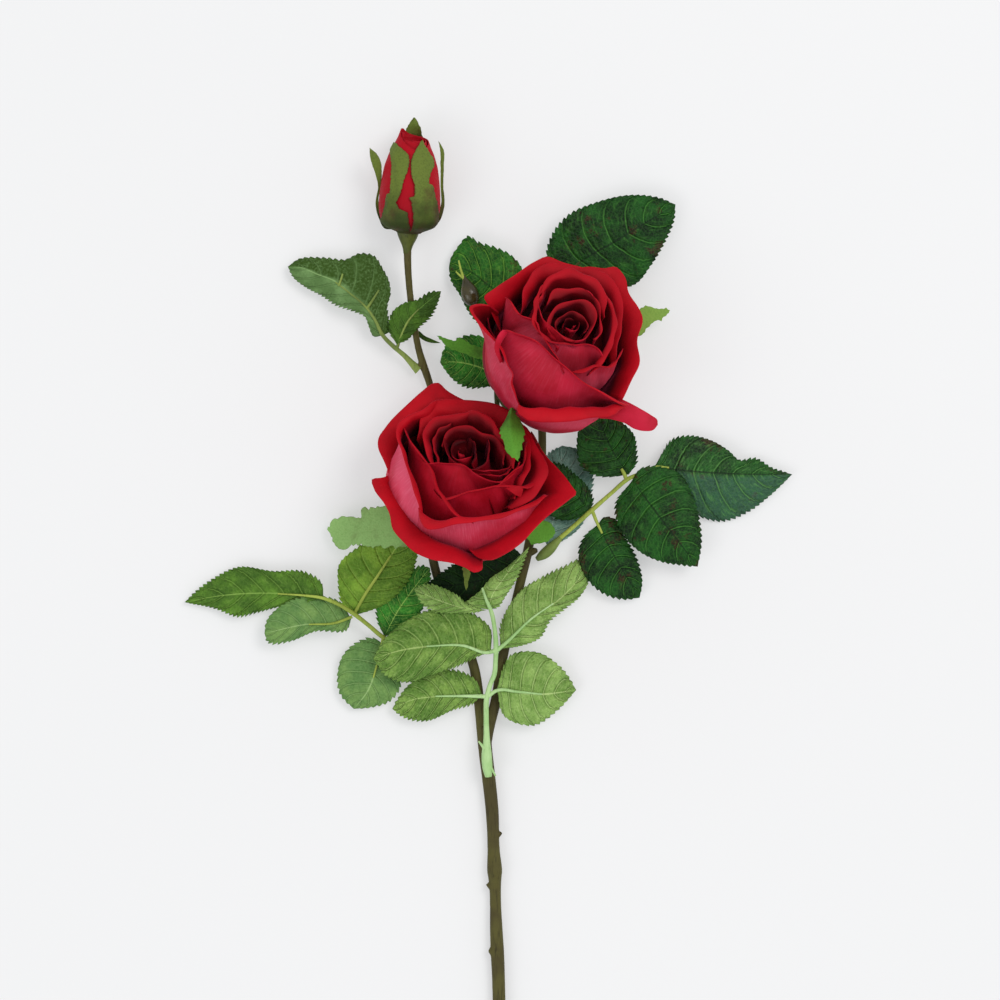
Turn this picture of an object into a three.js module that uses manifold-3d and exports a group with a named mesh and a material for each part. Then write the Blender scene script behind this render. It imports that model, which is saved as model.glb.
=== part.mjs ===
// A cut spray of roses lying on a flat surface: two open blooms and one bud on a forked
// woody stem, with five leaf sprigs. Millimetres, +Z up. +Y runs from the cut end to the bud.
import * as THREE from 'three';
import { mergeVertices } from 'three/addons/utils/BufferGeometryUtils.js';
import Module from 'manifold-3d';

const wasm = await Module();
wasm.setup();

// ---- Driving dimensions -------------------------------------------------------------------
const TRUNK_LENGTH = 220; // from the fork down to the cut end
const TRUNK_DIAMETER = 6.2;
const NODE_RING_DIAMETER = 7; // swollen ring half way down the trunk
const BRANCH_DIAMETER = 4.8; // each branch where it leaves the fork
const BUD_STALK_DIAMETER = 3;
const PEDICEL_DIAMETER = 3.8; // the short stalk under an open bloom
const STUB_DIAMETER = 2.6; // trimmed thorn or shoot
const STUB_REACH = 1.8; // how far a stub stands out of the bark
const RACHIS_DIAMETER = 2.2; // the stalk that carries the leaflets of a sprig
const COLLAR_DIAMETER = 4; // swollen foot of that stalk
const LEAF_THICKNESS = 0.8;
const LEAF_STALK_WIDTH = 1.6;
const PETAL_THICKNESS = 1;
const BLOOM_DEPTH = 50; // along the bloom's axis, from the petals' seat to the rim of the heart
const BLOOM_DIAMETER = 89; // across the outermost petals
const HIP_DIAMETER = 13.2; // the green swelling under a bloom
const HIP_LENGTH = 7.5;
const BUD_DIAMETER = 28;
const BUD_LENGTH = 46;
const BUD_HIP_DIAMETER = 9.5;
const BUD_HIP_LENGTH = 10.5;
const SEPAL_THICKNESS = 0.8;
const JOINT_GAP = 0.4; // clearance between two pieces that touch
const PETAL_GAP = 0.5; // clearance between two petals, measured through them

// ---- Materials ----------------------------------------------------------------------------
const paint = (color, roughness) => new THREE.MeshStandardMaterial({ color, roughness, metalness: 0 });
const bark = () => paint(0x5d5636, 0.6);
const limeStalk = () => paint(0x9aa83f, 0.5);
const leafTop = () => paint(0x1f4a2a, 0.45);
const leafUnderside = () => paint(0x6f9a45, 0.6);
const sepalGreen = () => paint(0x4d7d33, 0.55);
const petalRed = () => paint(0xb3121f, 0.55);
const heartRed = () => paint(0x8c0a16, 0.6);

// ---- Vectors ------------------------------------------------------------------------------
const UP = new THREE.Vector3(0, 0, 1);
const vec = (x, y, z) => new THREE.Vector3(x, y, z);
const radians = THREE.MathUtils.degToRad;
const lerp = THREE.MathUtils.lerp;

// ---- Solids -------------------------------------------------------------------------------
// A closed skin through rings of points that all have the same count, capped at both ends.
function loft(rings) {
  const count = rings[0].length;
  const middle = (ring) => ring.reduce((sum, p) => sum.add(p), vec(0, 0, 0)).divideScalar(count);
  const points = [...rings.flat(), middle(rings[0]), middle(rings.at(-1))];
  const last = (rings.length - 1) * count;
  const faces = [];
  for (let i = 0; i < count; i += 1) {
    const next = (i + 1) % count;
    for (let row = 0; row < last; row += count) {
      faces.push(row + i, row + next, row + count + next);
      faces.push(row + i, row + count + next, row + count + i);
    }
    faces.push(points.length - 2, next, i);
    faces.push(points.length - 1, last + i, last + next);
  }
  return outward(geometryOf(points, faces));
}

function geometryOf(points, faces) {
  const geometry = new THREE.BufferGeometry().setFromPoints(points);
  geometry.setIndex(faces);
  return geometry;
}

// Turns the faces over if the skin encloses a negative volume.
function outward(geometry) {
  const at = geometry.getAttribute('position');
  const index = geometry.getIndex();
  let volume = 0;
  for (let f = 0; f < index.count; f += 3) {
    const [a, b, c] = [0, 1, 2].map((k) => vec().fromBufferAttribute(at, index.getX(f + k)));
    volume += a.dot(b.cross(c));
  }
  if (volume < 0) index.array.reverse();
  return geometry;
}

// A round stalk. Each station is [x, y, z, diameter].
function stalk(stations, segments, sides = 8) {
  const path = new THREE.CatmullRomCurve3(stations.map(([x, y, z]) => vec(x, y, z)));
  const widths = new THREE.CatmullRomCurve3(stations.map((s) => vec(s[3] / 2, 0, 0)));
  const frames = path.computeFrenetFrames(segments);
  const along = Array.from({ length: segments + 1 }, (_, i) => i / segments);
  return loft(along.map((u, i) => {
    const t = path.getUtoTmapping(u);
    const radius = widths.getPoint(t).x;
    return Array.from({ length: sides }, (_, k) => {
      const angle = (2 * Math.PI * k) / sides;
      return path.getPoint(t)
        .addScaledVector(frames.normals[i], radius * Math.cos(angle))
        .addScaledVector(frames.binormals[i], radius * Math.sin(angle));
    });
  }));
}

// A solid turned about its own axis. Each station is [radius, height], from axis to axis.
function turned(stations, sides) {
  const lathe = new THREE.LatheGeometry(stations.map(([r, h]) => new THREE.Vector2(r, h)), sides);
  lathe.rotateX(Math.PI / 2);
  lathe.deleteAttribute('normal');
  lathe.deleteAttribute('uv');
  return outward(mergeVertices(lathe, 1e-4));
}

// A thin leaf-like blade from base to tip. left and right are its half widths, fold lifts its
// edges, roll turns it about its length, arch lifts its middle and shape is its outline.
function blade({ base, tip, left, right, fold = 0, roll = 0, arch = 0, thickness, shape, rows = 8 }) {
  const chord = tip.clone().sub(base);
  const flat = UP.clone().addScaledVector(chord, -UP.dot(chord) / chord.lengthSq()).normalize();
  const rise = flat.applyAxisAngle(chord.clone().normalize(), radians(roll));
  const side = rise.clone().cross(chord).normalize();
  const across = [1, 0, -1];
  return loft(Array.from({ length: rows + 1 }, (_, row) => {
    const s = row / rows;
    const spine = base.clone().addScaledVector(chord, s);
    spine.addScaledVector(rise, 4 * arch * s * (1 - s));
    const half = (k) => k * Math.max(LEAF_STALK_WIDTH / 2, shape(s) * (k > 0 ? left : right));
    const place = (k, height) => spine.clone()
      .addScaledVector(side, half(k))
      .addScaledVector(rise, Math.abs(half(k)) * Math.tan(radians(fold)) + height);
    const top = across.map((k) => place(k, thickness / 2));
    const bottom = across.map((k) => place(k, -thickness / 2)).reverse();
    return [...top, ...bottom];
  }));
}

// Outlines: the share of the full half width at each share of the length.
const ovate = (s) => Math.sin(Math.PI * s ** 0.8) ** 0.8;
const lance = (s) => (1 - s ** 2.5) * Math.min(1, 0.55 + 1.5 * s);

function join(geometries) {
  const solids = geometries.map((g) => {
    const vertProperties = Float32Array.from(g.getAttribute('position').array);
    const triVerts = Uint32Array.from(g.getIndex().array);
    return new wasm.Manifold(new wasm.Mesh({ numProp: 3, vertProperties, triVerts }));
  });
  const mesh = solids.reduce((whole, piece) => whole.add(piece)).getMesh();
  const joined = new THREE.BufferGeometry();
  joined.setAttribute('position', new THREE.BufferAttribute(mesh.vertProperties, 3));
  joined.setIndex(new THREE.BufferAttribute(mesh.triVerts, 1));
  return joined;
}

const rose = new THREE.Group();
const plant = new THREE.Group();
rose.add(plant);

function put(name, geometry, material, parent = plant) {
  const mesh = new THREE.Mesh(geometry, material);
  mesh.name = name;
  parent.add(mesh);
  return mesh;
}

// ---- Flower frames ------------------------------------------------------------------------
// A flower's own frame has its seat at the origin and its axis on +Z.
function flowerFrame(seat, axis) {
  const frame = new THREE.Group();
  frame.position.copy(seat);
  frame.quaternion.setFromUnitVectors(UP, axis.clone().normalize());
  frame.updateMatrixWorld(true);
  plant.add(frame);
  return frame;
}

const lowerBloom = flowerFrame(vec(-13, -8, 17), vec(-0.08, 0.545, 0.835));
const upperBloom = flowerFrame(vec(18, 55.5, 16), vec(0.265, 0.425, 0.866));
const bud = flowerFrame(vec(-41, 120.5, 14.5), vec(0.04, 1, 0.05));

// The last two stations of a flower's stalk, in line with the flower's axis.
function stalkTop(frame, hipLength, diameter) {
  return [4, 0].map((below) => {
    const end = frame.localToWorld(vec(0, 0, -hipLength - JOINT_GAP - below));
    return [end.x, end.y, end.z, diameter];
  });
}

// ---- Stem ---------------------------------------------------------------------------------
const FORK = vec(-7, -108, TRUNK_DIAMETER / 2);
const CUT_END = vec(2.3, FORK.y - TRUNK_LENGTH, TRUNK_DIAMETER / 2);

function trunk() {
  const lie = TRUNK_DIAMETER / 2;
  return stalk([
    [FORK.x, FORK.y + 4, lie, TRUNK_DIAMETER],
    [-5.2, -124, lie, TRUNK_DIAMETER],
    [-3.5, -139, lie, TRUNK_DIAMETER],
    [-2.6, -162, lie, TRUNK_DIAMETER],
    [-2.5, -166, NODE_RING_DIAMETER / 2, NODE_RING_DIAMETER],
    [-2.4, -170, lie, TRUNK_DIAMETER],
    [CUT_END.x, CUT_END.y, CUT_END.z, TRUNK_DIAMETER],
  ], 20);
}

// A trimmed shoot standing out of the trunk at a point of its middle line.
function stub(x, y, turn) {
  const reach = TRUNK_DIAMETER / 2 + STUB_REACH;
  const out = vec(reach * Math.cos(radians(turn)), 0, reach * Math.sin(radians(turn)));
  const height = TRUNK_DIAMETER / 2;
  return stalk([
    [x, y, height, STUB_DIAMETER],
    [x + out.x, y + 1, height + out.z, STUB_DIAMETER * 0.6],
  ], 2, 8);
}

function budBranch() {
  return stalk([
    [FORK.x - 0.5, FORK.y - 4, BRANCH_DIAMETER / 2, BRANCH_DIAMETER],
    [-9.5, -90, BRANCH_DIAMETER / 2, BRANCH_DIAMETER],
    [-11.5, -76, BRANCH_DIAMETER / 2, BRANCH_DIAMETER * 0.95],
    [-28.8, -32.4, 2.2, BRANCH_DIAMETER * 0.88],
    [-32.5, 10, 2.2, 3.8],
    [-31.5, 51.8, 4, 3.2],
    [-36.5, 67.5, 6, BUD_STALK_DIAMETER],
    [-40, 90, 9, BUD_STALK_DIAMETER],
    ...stalkTop(bud, BUD_HIP_LENGTH, BUD_STALK_DIAMETER),
  ], 26);
}

function bloomBranch() {
  return stalk([
    [FORK.x + 0.5, FORK.y - 4, BRANCH_DIAMETER / 2, BRANCH_DIAMETER],
    [-1.8, -90, BRANCH_DIAMETER / 2, BRANCH_DIAMETER],
    [1.4, -70, BRANCH_DIAMETER / 2, BRANCH_DIAMETER * 0.95],
    [6.3, -49.5, 2.2, BRANCH_DIAMETER * 0.9],
    [12.6, -22.5, 2.2, 4.2],
    [18.9, 20.3, 2.2, PEDICEL_DIAMETER],
    [18.5, 36, 2.6, PEDICEL_DIAMETER],
    ...stalkTop(upperBloom, HIP_LENGTH, PEDICEL_DIAMETER),
  ], 22);
}

function lowerPedicel() {
  return stalk([
    [-11.3, -80, BRANCH_DIAMETER / 2, PEDICEL_DIAMETER],
    [-14.5, -55, 2.2, PEDICEL_DIAMETER],
    [-13, -32, 2.6, PEDICEL_DIAMETER],
    ...stalkTop(lowerBloom, HIP_LENGTH, PEDICEL_DIAMETER),
  ], 12);
}

put('main_stem', join([
  trunk(),
  budBranch(),
  bloomBranch(),
  lowerPedicel(),
  stub(-3.4, -151, 20),
  stub(-2.4, -174, 160),
  stub(-1.8, -203, 175),
]), bark());

// ---- Sprigs -------------------------------------------------------------------------------
const ON_TRUNK = TRUNK_DIAMETER + JOINT_GAP; // height of the bark's top, with clearance

const sprigs = {
  bud_sprig: {
    color: limeStalk,
    path: [
      [-38.8, 60.6, 5, COLLAR_DIAMETER * 0.8],
      [-43.1, 65.2, 6, RACHIS_DIAMETER * 1.1],
      [-48.4, 69.5, 7, RACHIS_DIAMETER],
      [-52.7, 73.8, 8, RACHIS_DIAMETER],
    ],
  },
  top_sprig: {
    color: bark,
    path: [
      [10.5, -10, 2.6, COLLAR_DIAMETER],
      [5, 12, 2.4, RACHIS_DIAMETER],
      [-1, 40, 3.4, RACHIS_DIAMETER],
      [-1.2, 52, 3.4, RACHIS_DIAMETER],
      [1, 72, 3.6, RACHIS_DIAMETER],
      [8, 88, 4, RACHIS_DIAMETER],
      [22, 97, 4.5, RACHIS_DIAMETER],
      [36, 100.5, 5, RACHIS_DIAMETER],
    ],
  },
  right_sprig: {
    color: limeStalk,
    path: [
      [17.8, -25.5, 6, RACHIS_DIAMETER],
      [21.5, -22.6, 7, COLLAR_DIAMETER],
      [26, -18, 8, RACHIS_DIAMETER],
      [41.4, -4.5, 9, RACHIS_DIAMETER],
      [58.5, 9.9, 10, RACHIS_DIAMETER],
      [69, 14.6, 9, RACHIS_DIAMETER],
    ],
  },
  front_sprig: {
    color: limeStalk,
    path: [
      [-5.6, -123, ON_TRUNK + COLLAR_DIAMETER / 2, COLLAR_DIAMETER],
      [-6, -116, ON_TRUNK + COLLAR_DIAMETER / 2, COLLAR_DIAMETER],
      [-6, -107.6, ON_TRUNK + COLLAR_DIAMETER / 2, RACHIS_DIAMETER],
      [-5.9, -88.7, 9.5, RACHIS_DIAMETER],
      [-2.7, -79.2, 10.5, RACHIS_DIAMETER],
      [-1.8, -68, 12, RACHIS_DIAMETER],
      [-3.6, -51.4, 15, RACHIS_DIAMETER],
    ],
  },
  left_sprig: {
    color: limeStalk,
    path: [
      [-22, -63, 4.5, COLLAR_DIAMETER * 0.8],
      [-35, -66, 5, RACHIS_DIAMETER],
      [-52.7, -61.7, 6.5, RACHIS_DIAMETER],
      [-66.2, -50.6, 10, RACHIS_DIAMETER],
      [-78, -44.4, 11.5, RACHIS_DIAMETER],
    ],
  },
};

for (const [name, sprig] of Object.entries(sprigs)) {
  sprig.curve = new THREE.CatmullRomCurve3(sprig.path.map(([x, y, z]) => vec(x, y, z)));
  put(`${name}_rachis`, stalk(sprig.path, 3 * sprig.path.length, 6), sprig.color());
}

// A leaflet grows from a sprig's stalk at the share `at` of its length towards its tip.
function leaflet(sprigName, number, at, tip, left, right, bend, material) {
  const root = sprigs[sprigName].curve.getPointAt(at);
  const aim = tip.clone().sub(root).normalize();
  const standOff = (at === 1 ? 0 : RACHIS_DIAMETER / 2) + LEAF_THICKNESS / 2 + JOINT_GAP;
  const base = root.addScaledVector(aim, standOff);
  base.z += bend.lift ?? 0;
  put(`${sprigName}_leaflet_${number}`, blade({
    base, tip, left, right, ...bend, thickness: LEAF_THICKNESS, shape: ovate,
  }), material);
}

leaflet('bud_sprig', 1, 1, vec(-95, 104.9, 4), 6, 18, { fold: 12, roll: 4 }, leafUnderside());
leaflet('bud_sprig', 2, 0.62, vec(-26.6, 94, 13), 7, 6, { arch: 2.5 }, leafUnderside());
leaflet('bud_sprig', 3, 0.55, vec(-27, 69.8, 1.5), 2, 2, { arch: -2.2, lift: -1 }, leafUnderside());

leaflet('top_sprig', 1, 0.78, vec(-23, 104.4, 3), 14, 15, { arch: 1 }, leafTop());
leaflet('top_sprig', 2, 1, vec(77.9, 132.8, 7), 16, 17, { arch: 1.5, fold: 4 }, leafTop());
leaflet('top_sprig', 3, 0.5, vec(-27, 62, 5), 10.5, 11, { arch: 1 }, leafTop());

leaflet('right_sprig', 1, 1, vec(131.4, 11.7, 3), 14.5, 20, { roll: 8 }, leafTop());
leaflet('right_sprig', 2, 0.84, vec(88.9, -29.7, 9), 14.5, 17, { arch: 3.5, lift: 1.5 }, leafTop());
leaflet('right_sprig', 3, 0.82, vec(44, 38, 7), 13, 10, { arch: 0.5 }, leafTop());
leaflet('right_sprig', 4, 0.5, vec(62.7, -43.7, 4), 8, 14, { arch: 1.5 }, leafTop());
leaflet('right_sprig', 5, 0.47, vec(25, 15, 8), 11, 7, { arch: 1 }, leafTop());

leaflet('front_sprig', 1, 0.5, vec(34.2, -85.5, 4), 16, 15, { arch: 2.5 }, leafUnderside());
leaflet('front_sprig', 2, 0.46, vec(-48.2, -93.4, 4), 9.5, 11, { arch: 1.5 }, leafUnderside());
leaflet('front_sprig', 3, 0.76, vec(-56.7, -71.6, 11), 14, 15.5, { arch: 2, fold: -6 }, leafUnderside());
leaflet('front_sprig', 4, 0.78, vec(38.3, -30.6, 3), 12, 9, { arch: 3 }, leafUnderside());
leaflet('front_sprig', 5, 1, vec(13, -21.2, 17), 7, 5, { arch: 1 }, leafUnderside());
leaflet('front_sprig', 6, 0.93, vec(-38.7, -40, 15), 5.5, 5, { arch: 1.5 }, leafUnderside());

leaflet('left_sprig', 1, 1, vec(-141.8, -46.4, 3), 8, 11.5, { arch: -3, roll: -18 }, leafUnderside());
leaflet('left_sprig', 2, 0.8, vec(-105.3, -60, 7.5), 5, 6.5, { arch: 3.2, lift: -3 }, leafUnderside());
leaflet('left_sprig', 3, 0.78, vec(-42.8, -20.3, 15), 15, 10, { arch: 1 }, leafUnderside());
leaflet('left_sprig', 4, 0.52, vec(-65.7, -93.6, 3), 13, 13, { arch: 0.5 }, leafUnderside());
leaflet('left_sprig', 5, 0.55, vec(-32.4, -32.4, 6), 9, 9, { arch: 0.5 }, leafTop());

// Two leaves that grow straight from the branch to the upper bloom.
function branchLeaf(number, base, tip, left, right, bend) {
  put(`branch_leaf_${number}`, blade({
    base, tip, left, right, ...bend, thickness: LEAF_THICKNESS, shape: ovate,
  }), leafTop());
}

branchLeaf(1, vec(22.5, -21, 2.2), vec(27.9, 23.9, 3), 3, 14, {});
branchLeaf(2, vec(8.6, -26.5, 5), vec(-34.2, -38.7, 8.5), 14, 6, { arch: 1.5 });

// ---- Blooms -------------------------------------------------------------------------------
// Petals nest like bowls. Layer 0 is the innermost one made here and each layer outside it
// sits one pitch further out and lower, so that no two meet wherever they stand.
const OUTER_LAYERS = 7;
const PITCH = PETAL_THICKNESS + PETAL_GAP;
const SPREAD = BLOOM_DIAMETER / 2;

function petalProfile(layer) {
  const share = layer / (OUTER_LAYERS - 1);
  return new THREE.CubicBezierCurve3(
    vec(5.2 + 0.35 * PITCH * layer, 0, (OUTER_LAYERS - 1 - layer) * PITCH),
    vec(0.33 * SPREAD + 1.1 * PITCH * layer, 0, (OUTER_LAYERS - 2 - layer) * PITCH),
    vec(0.42 * SPREAD + 1.5 * PITCH * layer, 0, BLOOM_DEPTH * 0.56 - PITCH * layer),
    vec(lerp(0.55, 1, share) * SPREAD, 0, lerp(1, 0.66, share) * BLOOM_DEPTH),
  );
}

function petal(layer, azimuth, halfSpan, length) {
  const profile = petalProfile(layer);
  const columns = [-1, -0.7, -0.35, 0, 0.35, 0.7, 1];
  const rows = 7;
  const point = (s, column, offset) => {
    const reach = s * length * (1 - 0.22 * s * column ** 4);
    const out = profile.getTangent(reach).cross(vec(0, 1, 0)).multiplyScalar(offset);
    const place = profile.getPoint(reach).add(out);
    const span = halfSpan * lerp(0.5, 1, Math.min(1, 2 * s));
    return place.applyAxisAngle(UP, radians(azimuth + span * column));
  };
  return loft(Array.from({ length: rows + 1 }, (_, row) => {
    const s = row / rows;
    const outer = columns.map((c) => point(s, c, PETAL_THICKNESS / 2));
    const inner = columns.map((c) => point(s, c, -PETAL_THICKNESS / 2)).reverse();
    return [...outer, ...inner];
  }));
}

// The wound heart: a cup with the ridges of its whorls on top.
function bloomHeart() {
  const profile = petalProfile(-1);
  const wall = [0.04, 0.2, 0.35, 0.5, 0.65, 0.8, 0.94].map((s) => profile.getPoint(s));
  const rim = wall.at(-1);
  const whorls = [
    [0.92, 1.01],
    [0.82, 0.9],
    [0.68, 0.99],
    [0.6, 0.98],
    [0.48, 0.86],
    [0.34, 0.95],
    [0.26, 0.94],
    [0.14, 0.84],
  ];
  return turned([
    [0, wall[0].z],
    ...wall.map((p) => [p.x, p.z]),
    ...whorls.map(([r, h]) => [r * rim.x, h * rim.z]),
    [0, 0.84 * rim.z],
  ], 18);
}

// The green hip with the cone that the petals stand on.
function bloomHip() {
  const hip = HIP_DIAMETER / 2;
  const seat = (layer) => petalProfile(layer).getPoint(0).x - PETAL_THICKNESS / 2 - JOINT_GAP;
  const seatTop = OUTER_LAYERS * PITCH - PITCH;
  return turned([
    [0, -HIP_LENGTH],
    [PEDICEL_DIAMETER / 2 + 0.3, -HIP_LENGTH],
    [hip * 0.85, -HIP_LENGTH * 0.7],
    [hip, -HIP_LENGTH * 0.45],
    [hip * 0.95, -HIP_LENGTH * 0.2],
    [seat(OUTER_LAYERS - 1), -HIP_LENGTH * 0.1],
    [seat(0), seatTop],
    [0, seatTop],
  ], 16);
}

// A sepal leaves the hip at an azimuth and runs to a tip given in the plant's frame.
function bloomSepal(frame, azimuth, tip, half, bend) {
  const start = vec(HIP_DIAMETER / 2 + JOINT_GAP + 0.4, 0, -HIP_LENGTH * 0.45);
  const base = frame.localToWorld(start.applyAxisAngle(UP, radians(azimuth)));
  return blade({
    base, tip, left: half, right: half, ...bend, thickness: SEPAL_THICKNESS, shape: lance,
  });
}

function bloom(name, frame, petals, sepals) {
  put(`${name}_hip`, bloomHip(), sepalGreen(), frame);
  put(`${name}_heart`, bloomHeart(), heartRed(), frame);
  petals.forEach(([azimuth, halfSpan, length], i) => {
    const layer = OUTER_LAYERS - petals.length + i;
    put(`${name}_petal_${i + 1}`, petal(layer, azimuth, halfSpan, length), petalRed(), frame);
  });
  sepals.forEach(([azimuth, tip, half, bend], i) => {
    put(`${name}_sepal_${i + 1}`, bloomSepal(frame, azimuth, tip, half, bend), sepalGreen());
  });
}

// Petals from the innermost to the outermost: azimuth, half span, share of the profile's length.
bloom('lower_bloom', lowerBloom, [
  [185, 50, 1],
  [20, 48, 0.86],
  [275, 60, 0.92],
  [95, 62, 0.93],
  [330, 55, 1],
  [222, 58, 0.97],
], [
  [185, vec(-77.2, -12.4, 6), 8, { arch: -1 }],
  [345, vec(24.3, -15.8, 13), 4.5, { arch: -1 }],
  [265, vec(-14.9, -40.5, 13), 2.6, { arch: -1 }],
]);

bloom('upper_bloom', upperBloom, [
  [60, 50, 1],
  [180, 50, 1],
  [300, 50, 0.95],
  [110, 55, 0.95],
  [15, 55, 0.95],
  [195, 60, 0.95],
  [275, 62, 1],
], [
  [170, vec(-27, 73, 14), 4.5, { arch: -3 }],
  [20, vec(76, 85.5, 9), 5, { arch: -4 }],
  [255, vec(0.8 + 0.15 * SPREAD, 0.45 * SPREAD - 3, 31.3 + 0.6 * SPREAD), 5.5, { arch: -4 }],
]);

// ---- Bud ----------------------------------------------------------------------------------
// Radius of the bud's body, as a share of its own radius, at each share of its length.
const budShare = new THREE.SplineCurve([
  new THREE.Vector2(0, 0.55),
  new THREE.Vector2(0.12, 0.86),
  new THREE.Vector2(0.3, 1),
  new THREE.Vector2(0.55, 0.86),
  new THREE.Vector2(0.8, 0.6),
  new THREE.Vector2(1, 0.28),
]);
const budRadius = (s) => budShare.getPoint(s).y * (BUD_DIAMETER / 2 - SEPAL_THICKNESS - JOINT_GAP);
const BUD_SEAT = 1.2; // height of the body's foot above the hip

put('bud_heart', turned([
  [0, BUD_SEAT],
  ...[0, 0.08, 0.2, 0.35, 0.5, 0.65, 0.8, 0.92, 1].map((s) => [
    budRadius(s),
    BUD_SEAT + budShare.getPoint(s).x * (BUD_LENGTH - BUD_SEAT),
  ]),
  [0, BUD_LENGTH - 1],
], 20), heartRed(), bud);

put('bud_hip', turned([
  [0, -BUD_HIP_LENGTH],
  [BUD_STALK_DIAMETER / 2 + 0.2, -BUD_HIP_LENGTH],
  [BUD_HIP_DIAMETER * 0.26, -BUD_HIP_LENGTH * 0.55],
  [BUD_HIP_DIAMETER * 0.42, -BUD_HIP_LENGTH * 0.25],
  [BUD_HIP_DIAMETER / 2, 0],
  [BUD_HIP_DIAMETER * 0.45, BUD_SEAT - JOINT_GAP],
  [0, BUD_SEAT - JOINT_GAP],
], 16), sepalGreen(), bud);

// A sepal wrapped on the bud's body over a range of its length; flare bends its tip away.
function budSepal(azimuth, halfSpan, reach, flare) {
  const columns = [-1, -0.5, 0, 0.5, 1];
  const rows = 6;
  const point = (s, column, offset) => {
    const along = lerp(0.03, reach, s);
    const radius = budRadius(along) + JOINT_GAP + offset + flare * Math.max(0, s - 0.4) ** 2;
    const span = halfSpan * Math.max(0.12, lance(s));
    const height = BUD_SEAT + budShare.getPoint(along).x * (BUD_LENGTH - BUD_SEAT);
    return vec(radius, 0, height).applyAxisAngle(UP, radians(azimuth + span * column));
  };
  return loft(Array.from({ length: rows + 1 }, (_, row) => {
    const s = row / rows;
    const outer = columns.map((c) => point(s, c, SEPAL_THICKNESS));
    const inner = columns.map((c) => point(s, c, 0)).reverse();
    return [...outer, ...inner];
  }));
}

const budSepals = [
  [-42, 32, 0.85, 0],
  [-118, 32, 0.95, 0],
  [-168, 14, 0.9, 14],
  [4, 10, 0.95, 6],
  [92, 34, 1, 0],
];
budSepals.forEach(([azimuth, halfSpan, reach, flare], i) => {
  put(`bud_sepal_${i + 1}`, budSepal(azimuth, halfSpan, reach, flare), sepalGreen(), bud);
});

// ---- Place --------------------------------------------------------------------------------
// The origin is the middle of the box's bottom face.
rose.updateMatrixWorld(true);
const box = new THREE.Box3().setFromObject(rose, true);
plant.position.set(-(box.min.x + box.max.x) / 2, -(box.min.y + box.max.y) / 2, -box.min.z);

export default rose;
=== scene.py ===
"""The looks of a cut spray of roses: two open blooms, a bud, a forked stem and five leaf sprigs.

Lengths are millimetres in the plant's own frame: X to the right and Y towards the bud as seen
from above, Z up from the surface. place() turns them into metres in the model's frame.
"""

import math

import bpy
import numpy as np
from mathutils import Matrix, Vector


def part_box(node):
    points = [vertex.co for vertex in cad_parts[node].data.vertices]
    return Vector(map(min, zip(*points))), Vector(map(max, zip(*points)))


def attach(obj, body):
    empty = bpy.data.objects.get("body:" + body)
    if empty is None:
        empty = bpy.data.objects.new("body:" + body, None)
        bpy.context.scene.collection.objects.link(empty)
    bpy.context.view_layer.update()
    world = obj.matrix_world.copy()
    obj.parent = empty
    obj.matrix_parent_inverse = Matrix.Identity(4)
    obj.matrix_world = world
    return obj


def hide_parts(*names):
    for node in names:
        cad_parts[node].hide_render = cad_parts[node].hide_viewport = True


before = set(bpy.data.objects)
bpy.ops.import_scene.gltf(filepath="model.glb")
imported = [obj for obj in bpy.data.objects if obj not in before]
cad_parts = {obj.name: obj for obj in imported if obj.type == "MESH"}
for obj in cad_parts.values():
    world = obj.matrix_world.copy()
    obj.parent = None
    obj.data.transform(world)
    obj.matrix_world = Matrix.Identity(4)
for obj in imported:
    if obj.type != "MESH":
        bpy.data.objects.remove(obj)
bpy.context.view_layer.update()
rng = np.random.default_rng(808)

# ---- Where the plant lies -----------------------------------------------------------------
# The left sprig's end leaflet reaches X -141.8 and the cut end of the stem is at Y -328.
SHIFT = np.array([
    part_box("left_sprig_leaflet_1")[0].x * 1000 + 141.8,
    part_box("main_stem")[0].y * 1000 + 328.0,
    0.0,
])


def place(points):
    return (np.asarray(points, float) + SHIFT) / 1000


EYE = 1600  # height of the eye that the outlines below were taken from


def under_eye(points):
    """Draws outlines taken from above towards the middle by as much as their height calls for."""
    points = np.array(points, float)
    points[..., :2] *= 1 - points[..., 2:3] / EYE
    return points


# ---- Curves -------------------------------------------------------------------------------
def along(points, count):
    """Points spaced evenly by length on a smooth curve through the given ones."""
    p = np.asarray(points, float)
    step = np.maximum(np.linalg.norm(np.diff(p[:, :3], axis=0), axis=1), 1e-6)
    reach = np.concatenate([[0], np.cumsum(step)])
    slope = np.gradient(p, reach, axis=0)
    t = np.linspace(0, reach[-1], count)
    i = np.clip(np.searchsorted(reach, t, side="right") - 1, 0, len(step) - 1)
    h = step[i][:, None]
    s = ((t - reach[i]) / step[i])[:, None]
    a, b, da, db = p[i], p[i + 1], slope[i] * h, slope[i + 1] * h
    return ((2 * s**3 - 3 * s**2 + 1) * a + (s**3 - 2 * s**2 + s) * da
            + (3 * s**2 - 2 * s**3) * b + (s**3 - s**2) * db)


def unit(v):
    return v / np.maximum(np.linalg.norm(v, axis=-1, keepdims=True), 1e-9)


def smoothstep(low, high, x):
    t = np.clip((x - low) / (high - low), 0, 1)
    return t * t * (3 - 2 * t)


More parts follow.
